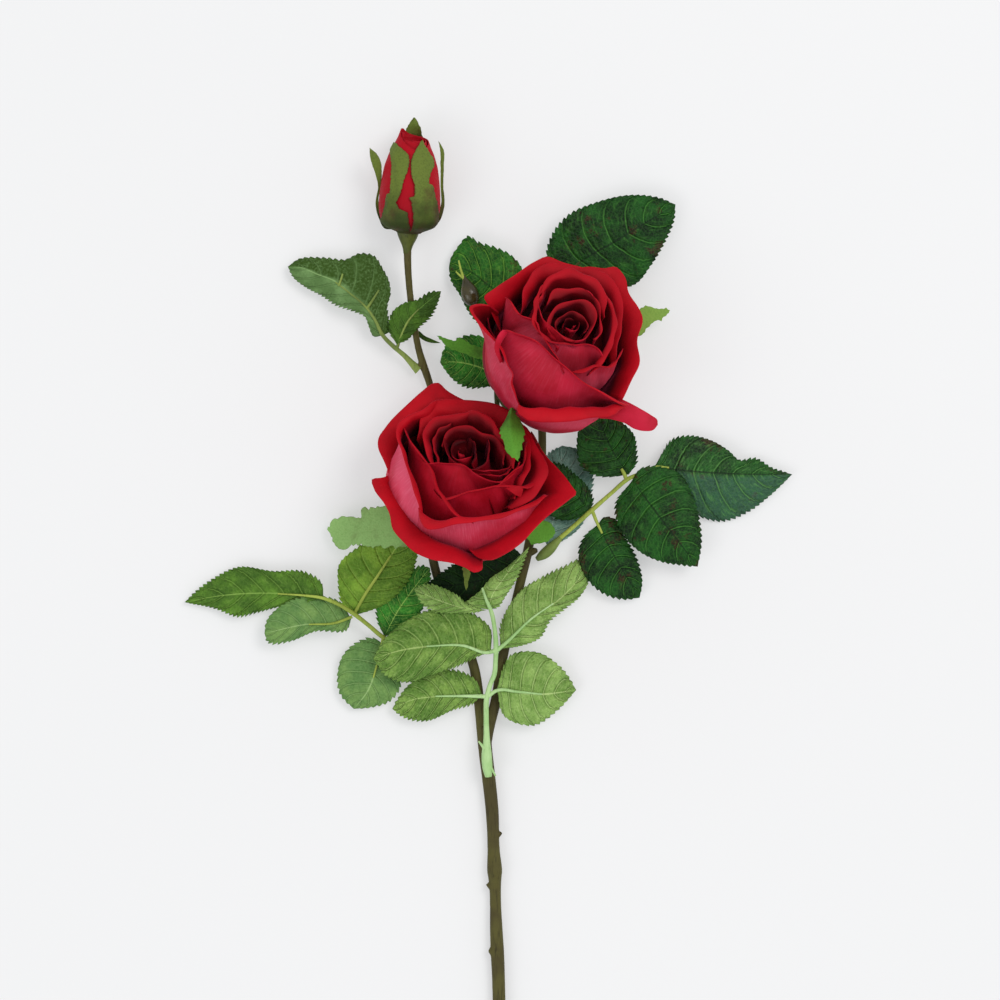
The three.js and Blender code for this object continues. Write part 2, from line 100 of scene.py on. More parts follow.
# ---- Meshes -------------------------------------------------------------------------------
def mesh_piece(name, points, faces, uv, back, material):
    """A smooth-shaded mesh piece with its own UV map and a "back" value at each point."""
    mesh = bpy.data.meshes.new(name)
    mesh.from_pydata(place(points).tolist(), [], [list(dict.fromkeys(face)) for face in faces.tolist()])
    layer = mesh.uv_layers.new(name="UVMap")
    corner = np.zeros(len(mesh.loops), np.int32)
    mesh.loops.foreach_get("vertex_index", corner)
    layer.data.foreach_set("uv", np.asarray(uv, np.float32)[corner].ravel())
    mesh.attributes.new("back", "FLOAT", "POINT").data.foreach_set("value", np.asarray(back, np.float32))
    mesh.polygons.foreach_set("use_smooth", np.ones(len(mesh.polygons), bool))
    mesh.materials.append(material)
    mesh.update()
    piece = bpy.data.objects.new(name, mesh)
    bpy.context.scene.collection.objects.link(piece)
    return piece


def sheet_shell(grid, thickness, thin_rim=0.35):
    """Closes a grid of points into a thin body: (points, faces, uv, back). The given points are
    its front. The rim is thinner than the middle."""
    rows, cols = grid.shape[:2]
    du = np.gradient(grid, axis=1)
    dv = np.gradient(grid, axis=0)
    normal = unit(np.cross(du, dv))
    v, u = np.meshgrid(np.linspace(0, 1, rows), np.linspace(0, 1, cols), indexing="ij")
    edge = np.minimum(np.minimum(u, 1 - u) * cols, (1 - v) * rows)
    gauge = thickness * (thin_rim + (1 - thin_rim) * np.clip(edge / 2, 0, 1))
    rear = grid - normal * gauge[..., None]
    points = np.concatenate([grid.reshape(-1, 3), rear.reshape(-1, 3)])
    uv = np.concatenate([np.stack([u, v], -1).reshape(-1, 2)] * 2)
    count = rows * cols
    index = np.arange(count).reshape(rows, cols)
    a, b, c, d = index[:-1, :-1], index[:-1, 1:], index[1:, 1:], index[1:, :-1]
    front = np.stack([a, b, c, d], -1).reshape(-1, 4)
    loop = np.concatenate([index[0, :-1], index[:-1, -1], index[-1, :0:-1], index[:0:-1, 0]])
    after = np.roll(loop, -1)
    wall = np.stack([loop + count, after + count, after, loop], -1)
    faces = np.concatenate([front, front[:, ::-1] + count, wall])
    back = np.concatenate([np.zeros(count), np.ones(count)])
    return points, faces, uv, back


def join_shells(shells):
    points, faces, uv, back, start = [], [], [], [], 0
    for p, f, t, b in shells:
        points.append(p)
        faces.append(f + start)
        uv.append(t)
        back.append(b)
        start += len(p)
    return np.concatenate(points), np.concatenate(faces), np.concatenate(uv), np.concatenate(back)


def shell_piece(name, shells, material):
    points, faces, uv, back = join_shells(shells)
    return mesh_piece(name, points, faces, uv, back, material)


def turned_shell(profile, seat, axis, sides=36):
    """A body turned about an axis from (radius, height) stations, closed at both ends."""
    axis = unit(np.array(axis, float))
    side = unit(np.cross(axis, [0, 0, 1.0]) + 1e-9)
    other = np.cross(axis, side)
    run = along(profile, 4 * len(profile))
    angle = np.linspace(0, 2 * np.pi, sides, endpoint=False)
    ring = np.cos(angle)[:, None] * side + np.sin(angle)[:, None] * other
    points = (np.array(seat, float) + run[:, 1, None, None] * axis + np.maximum(run[:, 0], 0.05)[:, None, None] * ring[None])
    rows = len(run)
    index = np.arange(rows * sides).reshape(rows, sides)
    near = np.roll(index, -1, axis=1)
    quads = np.stack([index[:-1], near[:-1], near[1:], index[1:]], -1).reshape(-1, 4)
    low, high = rows * sides, rows * sides + 1
    foot = np.stack([np.full(sides, low), near[0], index[0], index[0]], -1)
    top = np.stack([np.full(sides, high), index[-1], near[-1], near[-1]], -1)
    faces = np.concatenate([quads, foot, top])
    points = np.concatenate([points.reshape(-1, 3), [points[0].mean(0)], [points[-1].mean(0)]])
    across = np.concatenate([np.tile(np.linspace(0.3, 0.7, sides), rows), [0.5, 0.5]])
    up = np.concatenate([np.repeat(np.linspace(0, 1, rows), sides), [0, 1]])
    return points, faces, np.stack([across, up], -1), np.zeros(len(points))


def settle(piece, slot, *nodes):
    """Hands a finished piece to the model: what it rides on and stands for. The slot, what it is finished as, is not
    used.
    """
    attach(piece, "root")
    for node in nodes:
        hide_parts(node)
    return piece


# ---- Materials ----------------------------------------------------------------------------
def hex_color(text):
    """An sRGB hex colour as linear RGBA."""
    parts = [int(text[i:i + 2], 16) / 255 for i in (0, 2, 4)]
    return [c / 12.92 if c <= 0.04045 else ((c + 0.055) / 1.055) ** 2.4 for c in parts] + [1.0]


def add(tree, kind, links=None, **settings):
    """Adds a node: settings are its properties or, where it has none by that name, its inputs;
    links maps an input's name or number to the socket that feeds it."""
    node = tree.nodes.new(kind)
    for key, value in settings.items():
        if hasattr(node, key):
            setattr(node, key, value)
        else:
            node.inputs[key.replace("_", " ")].default_value = value
    for key, socket in (links or {}).items():
        tree.links.new(socket, node.inputs[key])
    return node


def finish_of(name, roughness, **shader):
    """A new material with its Principled shader, and its tree."""
    material = bpy.data.materials.new(name)
    material.use_nodes = True
    tree = material.node_tree
    surface = tree.nodes["Principled BSDF"]
    surface.inputs["Roughness"].default_value = roughness
    for key, value in shader.items():
        surface.inputs[key.replace("_", " ")].default_value = value
    return material, tree, surface


def math_node(tree, operation, first, second=None, third=None, clamp=False):
    node = add(tree, "ShaderNodeMath", operation=operation, use_clamp=clamp)
    for number, value in enumerate((first, second, third)):
        if value is None:
            continue
        if isinstance(value, (int, float)):
            node.inputs[number].default_value = value
        else:
            tree.links.new(value, node.inputs[number])
    return node.outputs[0]


def fade(tree, value, low, high, out_low=0.0, out_high=1.0):
    """Maps a value smoothly from one range to another."""
    node = add(tree, "ShaderNodeMapRange", {"Value": value}, interpolation_type="SMOOTHSTEP")
    for key, number in (("From Min", low), ("From Max", high), ("To Min", out_low), ("To Max", out_high)):
        node.inputs[key].default_value = number
    return node.outputs[0]


def blend_colors(tree, share, first, second, mode="MIX"):
    node = add(tree, "ShaderNodeMix", data_type="RGBA", blend_type=mode, clamp_factor=True)
    for socket, value in ((node.inputs[0], share), (node.inputs[6], first), (node.inputs[7], second)):
        if isinstance(value, str):
            socket.default_value = hex_color(value)
        elif isinstance(value, (int, float)):
            socket.default_value = value
        else:
            tree.links.new(value, socket)
    return node.outputs[2]


def noise(tree, vector, size_mm, detail=3.0, roughness=0.55):
    """A cloud pattern whose grains are about size_mm across, on coordinates in metres."""
    node = add(tree, "ShaderNodeTexNoise", {"Vector": vector})
    node.inputs["Scale"].default_value = 1000 / size_mm
    node.inputs["Detail"].default_value = detail
    node.inputs["Roughness"].default_value = roughness
    return node.outputs["Fac"]


def bump(tree, surface, height, depth_mm, strength=1.0):
    node = add(tree, "ShaderNodeBump", {"Height": height})
    node.inputs["Strength"].default_value = strength
    node.inputs["Distance"].default_value = depth_mm / 1000
    tree.links.new(node.outputs[0], surface.inputs["Normal"])


VEIN_PAIRS = 7  # side veins on each half of a leaflet
VEIN_SLOPE = 1.7  # how many vein spacings a side vein climbs from the midrib to the margin


def vein_pattern(tree, along_leaf, from_rib, wander):
    """How near a point is to a side vein, 1 on the vein and 0 between two, and the running count
    of side veins there."""
    climb = math_node(tree, "MULTIPLY", math_node(tree, "POWER", from_rib, 1.15), VEIN_SLOPE)
    phase = math_node(tree, "SUBTRACT", math_node(tree, "MULTIPLY", along_leaf, VEIN_PAIRS), climb)
    phase = math_node(tree, "ADD", phase, wander)
    share = math_node(tree, "FRACT", phase)
    return math_node(tree, "MULTIPLY", math_node(tree, "ABSOLUTE", math_node(tree, "SUBTRACT", share, 0.5)), 2), phase


def leaf_finish(name, deep, light, vein, patch, patches=0.0, vein_strength=0.6, gloss=0.5, shine=0.3, mottle=0.35,
                relief_mm=0.8, half=None, half_share=0.65, highlight_flecks=0.0, rib=None):
    """Printed and moulded leaf cloth: the side veins and the fine net between them are what the
    eye reads, then painted highlights in short streaks along the veins, painted shade in the
    vein grooves, dark blotches and a dull waxy shine. half is the painted light or shade of
    one half that turns to or from the light; rib, where given, is the midrib's colour, dark on
    the upper sides as painted shade in its groove."""
    material, tree, surface = finish_of(name, gloss, IOR=1.45, Specular_IOR_Level=shine)
    uv = add(tree, "ShaderNodeUVMap", uv_map="UVMap").outputs[0]
    position = add(tree, "ShaderNodeTexCoord").outputs["Object"]
    split = add(tree, "ShaderNodeSeparateXYZ", {0: uv})
    across = math_node(tree, "ABSOLUTE", math_node(tree, "MULTIPLY_ADD", split.outputs[0], 2, -1))
    cloud = noise(tree, position, 9, 4)
    fine = noise(tree, position, 1.0, 4)
    wander = math_node(tree, "MULTIPLY_ADD", cloud, 0.16, -0.08)
    near, phase = vein_pattern(tree, split.outputs[1], across, wander)
    side_vein = math_node(tree, "MULTIPLY", fade(tree, near, 0.9, 0.995), fade(tree, across, 1.0, 0.45))
    midrib = fade(tree, across, 0.03, 0.01)
    groove = fade(tree, near, 0.7, 0.97)
    net = add(tree, "ShaderNodeTexVoronoi", {"Vector": position}, feature="DISTANCE_TO_EDGE")
    net.inputs["Scale"].default_value = 1000 / 1.7
    net_line = fade(tree, net.outputs["Distance"], 0.14, 0.0)
    base = blend_colors(tree, fade(tree, cloud, 0.35, 0.68), deep, light)
    base = blend_colors(tree, fade(tree, fine, 0.3, 0.75, 0.0, mottle), base, deep, "MULTIPLY")
    blotch = noise(tree, position, 10, 6, 0.7)
    base = blend_colors(tree, fade(tree, blotch, 0.575, 0.63, 0.0, patches), base, patch)
    # painted light or shade: one half of the leaf lighter or darker as it turns to or from the light
    if half:
        turned = math_node(tree, "MULTIPLY", fade(tree, split.outputs[0], 0.5, 0.56), fade(tree, fine, 0.3, 0.6, 0.5, 1.0))
        base = blend_colors(tree, math_node(tree, "MULTIPLY", turned, half_share), base, half)
    # painted shade along the sunken vein grooves
    base = blend_colors(tree, math_node(tree, "MULTIPLY", groove, 0.35), base, deep)
    # painted highlights in short streaks that run with the side veins
    strand = add(tree, "ShaderNodeCombineXYZ", {
        0: math_node(tree, "MULTIPLY", phase, 7), 1: math_node(tree, "MULTIPLY", split.outputs[0], 9)})
    strand = add(tree, "ShaderNodeTexNoise", {"Vector": strand.outputs[0]}, Scale=1.0, Detail=4.0)
    strand = fade(tree, strand.outputs["Fac"], 0.5, 0.72)
    base = blend_colors(tree, math_node(tree, "MULTIPLY", strand, highlight_flecks), base, vein)
    lines = math_node(tree, "MAXIMUM", side_vein, math_node(tree, "MULTIPLY", net_line, 0.22))
    base = blend_colors(tree, math_node(tree, "MULTIPLY", lines, vein_strength), base, vein)
    # the midrib; its dark colour on the upper sides is painted shade in its groove
    base = blend_colors(tree, math_node(tree, "MULTIPLY", midrib, 0.7), base, rib or vein)
    tree.links.new(base, surface.inputs["Base Color"])
    relief = math_node(tree, "MULTIPLY_ADD", fine, 0.6, math_node(tree, "MULTIPLY", net.outputs["Distance"], 0.45))
    relief = math_node(tree, "SUBTRACT", relief, math_node(tree, "MULTIPLY", groove, 0.6))
    bump(tree, surface, relief, relief_mm, 0.9)
    return material


def petal_finish(name, lip, lip_from, back_deep, back_light, sheen):
    """Flocked petal cloth: painted shade, near black red, deep in the cup and blood red from
    lip_from up to the lip. The back is plainer, with a fine lengthwise grain, and carries a
    painted pink highlight with fine streaks where its "back" value is over 1."""
    material, tree, surface = finish_of(name, 0.6, Sheen_Weight=sheen, Sheen_Roughness=0.3, IOR=1.4,
                                        Specular_IOR_Level=0.14)
    surface.inputs["Sheen Tint"].default_value = hex_color("ff5c80")
    uv = add(tree, "ShaderNodeUVMap", uv_map="UVMap").outputs[0]
    position = add(tree, "ShaderNodeTexCoord").outputs["Object"]
    split = add(tree, "ShaderNodeSeparateXYZ", {0: uv})
    across, rise = split.outputs[0], split.outputs[1]
    back = add(tree, "ShaderNodeAttribute", attribute_name="back").outputs["Fac"]
    stretch = add(tree, "ShaderNodeCombineXYZ", {
        0: math_node(tree, "MULTIPLY", across, 130), 1: math_node(tree, "MULTIPLY", rise, 7)})
    streak = add(tree, "ShaderNodeTexNoise", {"Vector": stretch.outputs[0]}, Scale=1.0, Detail=3.0).outputs["Fac"]
    cloud = noise(tree, position, 11, 3)
    # painted shade: near black deep in the cup, lighter up towards the lip colour
    inner = blend_colors(tree, fade(tree, rise, 0.46, 0.8), "1c0105", "6c040e")
    inner = blend_colors(tree, fade(tree, rise, lip_from, lip_from + 0.26), inner, lip)
    inner = blend_colors(tree, fade(tree, cloud, 0.35, 0.7, 0.0, 0.4), inner, "880814")
    outer = blend_colors(tree, fade(tree, cloud, 0.35, 0.65), back_deep, back_light)
    # painted pink highlight on the back where its "back" value is over 1, in soft patches and a band of rise
    painted_highlight = math_node(tree, "SUBTRACT", back, 1, clamp=True)
    patch = fade(tree, noise(tree, position, 24, 2), 0.36, 0.6, 0.35, 1.0)
    window = math_node(tree, "MULTIPLY", fade(tree, rise, 0.26, 0.42), fade(tree, rise, 0.8, 0.7))
    painted_highlight = math_node(tree, "MULTIPLY", painted_highlight, math_node(tree, "MULTIPLY", patch, window))
    outer = blend_colors(tree, painted_highlight, outer, "e25a76")
    outer = blend_colors(tree, fade(tree, streak, 0.42, 0.78, 0.0, 0.05), outer, "dc5a76")
    # fine streaks of painted highlight inside it
    outer = blend_colors(tree, math_node(tree, "MULTIPLY", fade(tree, streak, 0.45, 0.7, 0.0, 0.45), painted_highlight), outer, "ea7890")
    outer = blend_colors(tree, fade(tree, rise, 0.34, 0.1), outer, "6a0616")
    color = blend_colors(tree, fade(tree, back, 0.35, 0.65), inner, outer)
    tree.links.new(color, surface.inputs["Base Color"])
    weave = noise(tree, position, 0.6, 2)
    relief = math_node(tree, "MULTIPLY_ADD", streak, 0.8, math_node(tree, "MULTIPLY", weave, 0.4))
    bump(tree, surface, relief, 0.2, 0.35)
    return material


def stalk_finish(name, young, old, speck, gloss, grain_mm, shine=0.2):
    """Moulded stalk: fine lengthwise grain, a little mottling and a dull shine."""
    material, tree, surface = finish_of(name, gloss, IOR=1.45, Specular_IOR_Level=shine)
    position = add(tree, "ShaderNodeTexCoord").outputs["Object"]
    lengthwise = add(tree, "ShaderNodeMapping", {"Vector": position})
    lengthwise.inputs["Scale"].default_value = (1, 0.12, 1)
    grain = noise(tree, lengthwise.outputs[0], grain_mm, 5, 0.65)
    cloud = noise(tree, position, 16, 3)
    color = blend_colors(tree, fade(tree, cloud, 0.35, 0.65), young, old)
    color = blend_colors(tree, fade(tree, grain, 0.5, 0.75, 0.0, 0.7), color, speck)
    tree.links.new(color, surface.inputs["Base Color"])
    bump(tree, surface, grain, 0.3, 0.8)
    return material


def sepal_finish(name, deep, light, brown, browned):
    """Thin calyx cloth: dark at the foot and lighter to the tip, and browner and redder in
    patches and at the torn edges."""
    material, tree, surface = finish_of(name, 0.65, IOR=1.45, Specular_IOR_Level=0.15)
    uv = add(tree, "ShaderNodeUVMap", uv_map="UVMap").outputs[0]
    position = add(tree, "ShaderNodeTexCoord").outputs["Object"]
    split = add(tree, "ShaderNodeSeparateXYZ", {0: uv})
    across = math_node(tree, "ABSOLUTE", math_node(tree, "MULTIPLY_ADD", split.outputs[0], 2, -1))
    cloud = noise(tree, position, 8, 4)
    fine = noise(tree, position, 0.8, 3)
    age = math_node(tree, "MULTIPLY_ADD", cloud, 0.6, math_node(tree, "SUBTRACT", split.outputs[1], 0.3))
    color = blend_colors(tree, fade(tree, age, 0.0, 0.6), deep, light)
    color = blend_colors(tree, fade(tree, fine, 0.4, 0.8, 0.0, 0.4), color, deep)
    patch = math_node(tree, "SUBTRACT", noise(tree, position, 13, 4, 0.6), math_node(tree, "MULTIPLY", split.outputs[1], 0.12))
    color = blend_colors(tree, fade(tree, patch, 0.42, 0.62, 0.0, browned), color, brown)
    edge = math_node(tree, "ADD", across, math_node(tree, "MULTIPLY_ADD", fine, 0.3, -0.15))
    color = blend_colors(tree, fade(tree, edge, 0.88, 1.02, 0.0, 0.3 + 0.6 * browned), color, brown)
    tree.links.new(color, surface.inputs["Base Color"])
    bump(tree, surface, fine, 0.3, 0.6)
    return material


PETAL_VELVET = petal_finish("crimson flocked petal cloth", "b60c1c", 0.54, "a60d22", "bc1a34", 0.34)
# the same cloth, darker, for the hearts and the bud, with the painted shade of the cup reaching higher
PETAL_SHADED_DEEP = petal_finish("deep crimson petal cloth", "a8091a", 0.66, "a0081a", "b41228", 0.2)
LEAF_TOP = leaf_finish("dark printed leaf cloth", "08260a", "1c5418", "54963a", "32160f", patches=0.85, vein_strength=0.45,
                       gloss=0.42, shine=0.16, mottle=0.4, highlight_flecks=0.22, rib="0a200c")
LEAF_SHEEN = leaf_finish("dark leaf cloth with a blue sheen", "08260a", "1c5418", "64a04c", "32160f", patches=0.8,
                         vein_strength=0.45, gloss=0.4, shine=0.2, mottle=0.4, half="436c58", half_share=0.5, highlight_flecks=0.34, rib="0a200c")
LEAF_VIVID = leaf_finish("green printed leaf cloth", "12440f", "2c7020", "84b844", "3c2216", patches=0.8,
                         vein_strength=0.5, gloss=0.45, shine=0.16, highlight_flecks=0.22, rib="14380f")
# painted shade: a dark leaf lying in shade, its cloth painted near black
LEAF_PAINTED_SHADE = leaf_finish("dark leaf cloth, near black in painted shade", "081c0a", "14300f", "3c6420", "1c140c", patches=0.5, vein_strength=0.3,
                         gloss=0.5, shine=0.1, highlight_flecks=0.1, rib="061006")
LEAF_BRIGHT = leaf_finish("bright printed leaf cloth", "1c5c1a", "3c922c", "a4cc62", "2c4a1a", patches=0.3,
                          vein_strength=0.55, shine=0.15, highlight_flecks=0.3)
# painted sheen: a pale blue-green haze laid over the whole leaf as its colour
LEAF_BLUE_PAINTED_SHEEN = leaf_finish("blue-green leaf cloth with a painted sheen", "547a6c", "7ea292", "a4c2ae", "3c5c4a", patches=0.3, shine=0.15,
                         highlight_flecks=0.25)
LEAF_UNDER = leaf_finish("pale leaf underside cloth", "6e9442", "96ba62", "c4dc90", "54763a", patches=0.25,
                         vein_strength=0.5, mottle=0.3, relief_mm=1.4, shine=0.15, highlight_flecks=0.25)
LEAF_UNDER_DEEP = leaf_finish("grass green leaf underside cloth", "3f641d", "5f8a2c", "8cb052", "3c5420", patches=0.3,
                              vein_strength=0.35, mottle=0.25, relief_mm=1.2, shine=0.15, highlight_flecks=0.2)
# half holds painted shade on one half of the leaf
LEAF_UNDER_GRASS = leaf_finish("leaf underside cloth with one half in painted shade", "5a8224", "82aa38", "a0bc58", "4c6820", patches=0.3,
                               vein_strength=0.35, mottle=0.25, shine=0.15, half="44681f", highlight_flecks=0.2)
LEAF_UNDER_MIX = leaf_finish("green leaf underside cloth", "5a8232", "88ac50", "b4ce7c", "48682a", patches=0.3,
                             vein_strength=0.45, mottle=0.35, relief_mm=1.6, shine=0.15, highlight_flecks=0.3)
LEAF_UNDER_BLUE = leaf_finish("bluish leaf underside cloth", "5a8244", "769a52", "a0bf7c", "4a7038", patches=0.25,
                              vein_strength=0.35, mottle=0.25, shine=0.15, highlight_flecks=0.15)
LEAF_UNDER_OLIVE = leaf_finish("olive leaf underside cloth", "2e4a16", "4a7022", "6c9440", "2a3c12", patches=0.35,
                               vein_strength=0.3, mottle=0.3, shine=0.12, highlight_flecks=0.15)
LEAF_UNDER_SPLIT = leaf_finish("leaf underside cloth, half in shade", "587842", "72945a", "8cac6c", "3e5c24", patches=0.3,
                               vein_strength=0.15, mottle=0.2, shine=0.12, half="324c14", half_share=1.0)
BARK = stalk_finish("moulded olive bark", "545027", "463f22", "1c160c", 0.6, 1.1)
LIME_STALK = stalk_finish("moulded lime stalk", "a5b650", "8c9e40", "66752c", 0.5, 1.0)
MINT_STALK = stalk_finish("moulded mint stalk", "b4d496", "98c07a", "7ca662", 0.35, 1.0)
OLIVE_STALK = stalk_finish("moulded olive stalk", "525a26", "3e4420", "2a2c18", 0.4, 1.0)
GREEN_COLLAR = stalk_finish("moulded green collar", "84984a", "66783a", "46502a", 0.45, 0.9)
GLOSSY_OLIVE = stalk_finish("glossy olive bulb", "4c4420", "2e2a16", "1e1c0e", 0.14, 1.6, shine=0.5)
CALYX_OLIVE = sepal_finish("olive calyx cloth", "303c18", "64742f", "4a2620", 0.5)
CALYX_GRASS = sepal_finish("grass green calyx cloth", "36601a", "58902e", "33381a", 0.5)
CALYX_LIME = sepal_finish("lime calyx cloth", "527a2a", "7ea046", "5c6a2c", 0.5)
CALYX_PALE = sepal_finish("pale calyx cloth", "628e42", "8cb46a", "5c5a34", 0.45)


# ---- Stalks and ribs: geometry nodes ------------------------------------------------------
def stalk_tree(name, material, sides):
    """Geometry nodes that give edges a round skin as thick as each point's "girth" value."""
    tree = bpy.data.node_groups.new(name, "GeometryNodeTree")
    tree.interface.new_socket("Lines", in_out="INPUT", socket_type="NodeSocketGeometry")
    count = tree.interface.new_socket("Sides", in_out="INPUT", socket_type="NodeSocketInt")
    step = tree.interface.new_socket("Step", in_out="INPUT", socket_type="NodeSocketFloat")
    tree.interface.new_socket("Stalks", in_out="OUTPUT", socket_type="NodeSocketGeometry")
    inputs = tree.nodes.new("NodeGroupInput")
    curve = add(tree, "GeometryNodeMeshToCurve", {"Mesh": inputs.outputs["Lines"]})
    girth = add(tree, "GeometryNodeInputNamedAttribute", data_type="FLOAT")
    girth.inputs["Name"].default_value = "girth"
    even = add(tree, "GeometryNodeResampleCurve", {0: curve.outputs[0]}, mode="LENGTH")
    tree.links.new(inputs.outputs["Step"], even.inputs["Length"])
    thick = add(tree, "GeometryNodeSetCurveRadius", {"Curve": even.outputs[0], "Radius": girth.outputs[0]})
    ring = add(tree, "GeometryNodeCurvePrimitiveCircle", {"Resolution": inputs.outputs["Sides"]})
    ring.inputs["Radius"].default_value = 1.0
    skin = add(tree, "GeometryNodeCurveToMesh", {"Curve": thick.outputs[0], "Profile Curve": ring.outputs[0]})
    skin.inputs["Fill Caps"].default_value = True
    if "Scale" in skin.inputs:
        tree.links.new(girth.outputs[0], skin.inputs["Scale"])
    smooth = add(tree, "GeometryNodeSetShadeSmooth", {0: skin.outputs[0]})
    real = add(tree, "GeometryNodeRealizeInstances", {0: smooth.outputs[0]})
    coat = add(tree, "GeometryNodeSetMaterial", {"Geometry": real.outputs[0]})
    coat.inputs["Material"].default_value = material
    outputs = tree.nodes.new("NodeGroupOutput")
    tree.links.new(coat.outputs[0], outputs.inputs[0])
    return tree, {"Sides": (count.identifier, sides), "Step": (step.identifier, 0.0015)}


def stalks(name, lines, material, sides=12):
    """One piece of round stalks. Each line is a list of (x, y, z, diameter)."""
    points, edges = [], []
    for line in lines:
        run = under_eye(along(line, 6 * len(line)))
        edges += [(len(points) + i, len(points) + i + 1) for i in range(len(run) - 1)]
        points += run.tolist()
    points = np.array(points)
    mesh = bpy.data.meshes.new(name + "_lines")
    mesh.from_pydata(place(points[:, :3]).tolist(), edges, [])
    mesh.attributes.new("girth", "FLOAT", "POINT").data.foreach_set(
        "value", (points[:, 3] / 2000).astype(np.float32))
    guide = bpy.data.objects.new(name + "_guide", mesh)
    bpy.context.scene.collection.objects.link(guide)
    tree, sizes = stalk_tree(name + " skin", material, sides)
    modifier = guide.modifiers.new("stalks", "NODES")
    modifier.node_group = tree
    for identifier, value in sizes.values():
        modifier[identifier] = value
    return plain_copy(guide, name)


def plain_copy(source, name):
    """The evaluated mesh of an object as a new plain piece; the source is removed."""
    bpy.context.view_layer.update()
    evaluated = source.evaluated_get(bpy.context.evaluated_depsgraph_get())
    mesh = bpy.data.meshes.new_from_object(evaluated)
    piece = bpy.data.objects.new(name, mesh)
    bpy.context.scene.collection.objects.link(piece)
    bpy.data.objects.remove(source)
    return piece


def fuse(piece, voxel_mm, material):
    """Melts touching stalks into one skin."""
    remesh = piece.modifiers.new("fuse", "REMESH")
    remesh.mode = "VOXEL"
    remesh.voxel_size = voxel_mm / 1000
    remesh.use_smooth_shade = True
    smooth = piece.modifiers.new("soften", "SMOOTH")
    smooth.factor = 0.5
    smooth.iterations = 4
    name = piece.name
    piece.name = name + "_rough"
    fused = plain_copy(piece, name)
    fused.data.materials.clear()
    fused.data.materials.append(material)
    fused.data.polygons.foreach_set("use_smooth", np.ones(len(fused.data.polygons), bool))
    return fused


# ---- Stem ---------------------------------------------------------------------------------
stem = stalks("stem", [
    # trunk with its swollen ring
    [(-7, -102, 3.1, 5.6), (-6.6, -112, 3.1, 6.3), (-5.2, -124, 3.1, 6.2), (-3.6, -139, 3.1, 6.0),
     (-2.7, -161, 3.1, 6.1), (-2.5, -164.5, 3.4, 6.8), (-2.4, -167, 3.4, 6.9), (-2.3, -170, 3.1, 6.1),
     (-1.6, -195, 3.1, 5.9), (-1.2, -203, 3.1, 6.2), (-0.8, -212, 3.1, 6.0), (0, -250, 3.1, 6.1),
     (1.2, -290, 3.1, 6.2), (2.3, -327.9, 3.1, 6.2)],
    # branch to the bud
    [(-7.5, -112, 2.6, 4.8), (-9.5, -90, 2.4, 4.9), (-11.5, -76, 2.4, 4.6), (-20, -55, 2.4, 4.4),
     (-28.8, -32.4, 2.2, 4.2), (-32.5, 10, 2.2, 3.8), (-31.5, 51.8, 4, 3.3), (-34.4, 60.5, 5.2, 3.6),
     (-36.5, 67.5, 6, 3.2), (-38.5, 78, 7.5, 3.1), (-40.2, 90, 9.5, 3.1), (-41.2, 101, 12, 3.2),
     (-41.6, 112, 14.1, 3.6), (-41.5, 115, 14.3, 3.6)],
    # branch to the upper bloom
    [(-6.5, -112, 2.6, 4.8), (-5, -103, 2.6, 4.9), (-1.8, -90, 2.4, 4.9), (1.4, -70, 2.4, 4.6),
     (6.3, -49.5, 2.3, 4.4), (9, -38, 2.3, 4.3), (12.6, -22.5, 2.4, 4.5), (15, -8, 2.2, 4.0),
     (18.9, 20.3, 2.2, 3.8), (18.6, 36, 2.8, 3.8), (16.4, 50, 6.5, 4.2), (16, 52.2, 9.4, 5)],
    # stalk of the lower bloom
    [(-11.3, -80, 2.4, 3.8), (-14.5, -55, 2.3, 3.8), (-13.5, -35, 2.8, 3.8), (-12.8, -17, 6, 4),
     (-12.4, -12.2, 10.6, 5)],
    # trimmed shoots
    [(-3.4, -151.5, 3.2, 4), (-0.4, -150.3, 4.2, 2.6), (0.9, -149.7, 4.6, 1.2)],
    [(-2.4, -175, 3.2, 4), (-5, -173.4, 3.8, 2.4), (-6.1, -172.8, 4.1, 1.2)],
    [(-1.6, -204, 3.2, 4.4), (-4, -202.8, 3.6, 3.6), (-5, -202.4, 3.8, 2)],
    [(12, -24, 3.6, 4.4), (15, -23, 5.2, 3.4), (16.6, -22.4, 6, 2.4)],
    [(-34, 60, 5.2, 3.6), (-37, 61, 5.6, 2.8)],
], BARK, sides=14)
stem = fuse(stem, 0.55, BARK)
settle(stem, "stem_bark", "main_stem")


# ---- Leaves -------------------------------------------------------------------------------
COLUMNS = np.array([-1, -0.95, -0.87, -0.76, -0.62, -0.47, -0.31, -0.15, 0,
                    0.15, 0.31, 0.47, 0.62, 0.76, 0.87, 0.95, 1])
TOOTH = 2.1  # spacing of the teeth along the margin
TOOTH_DEPTH = 1.05


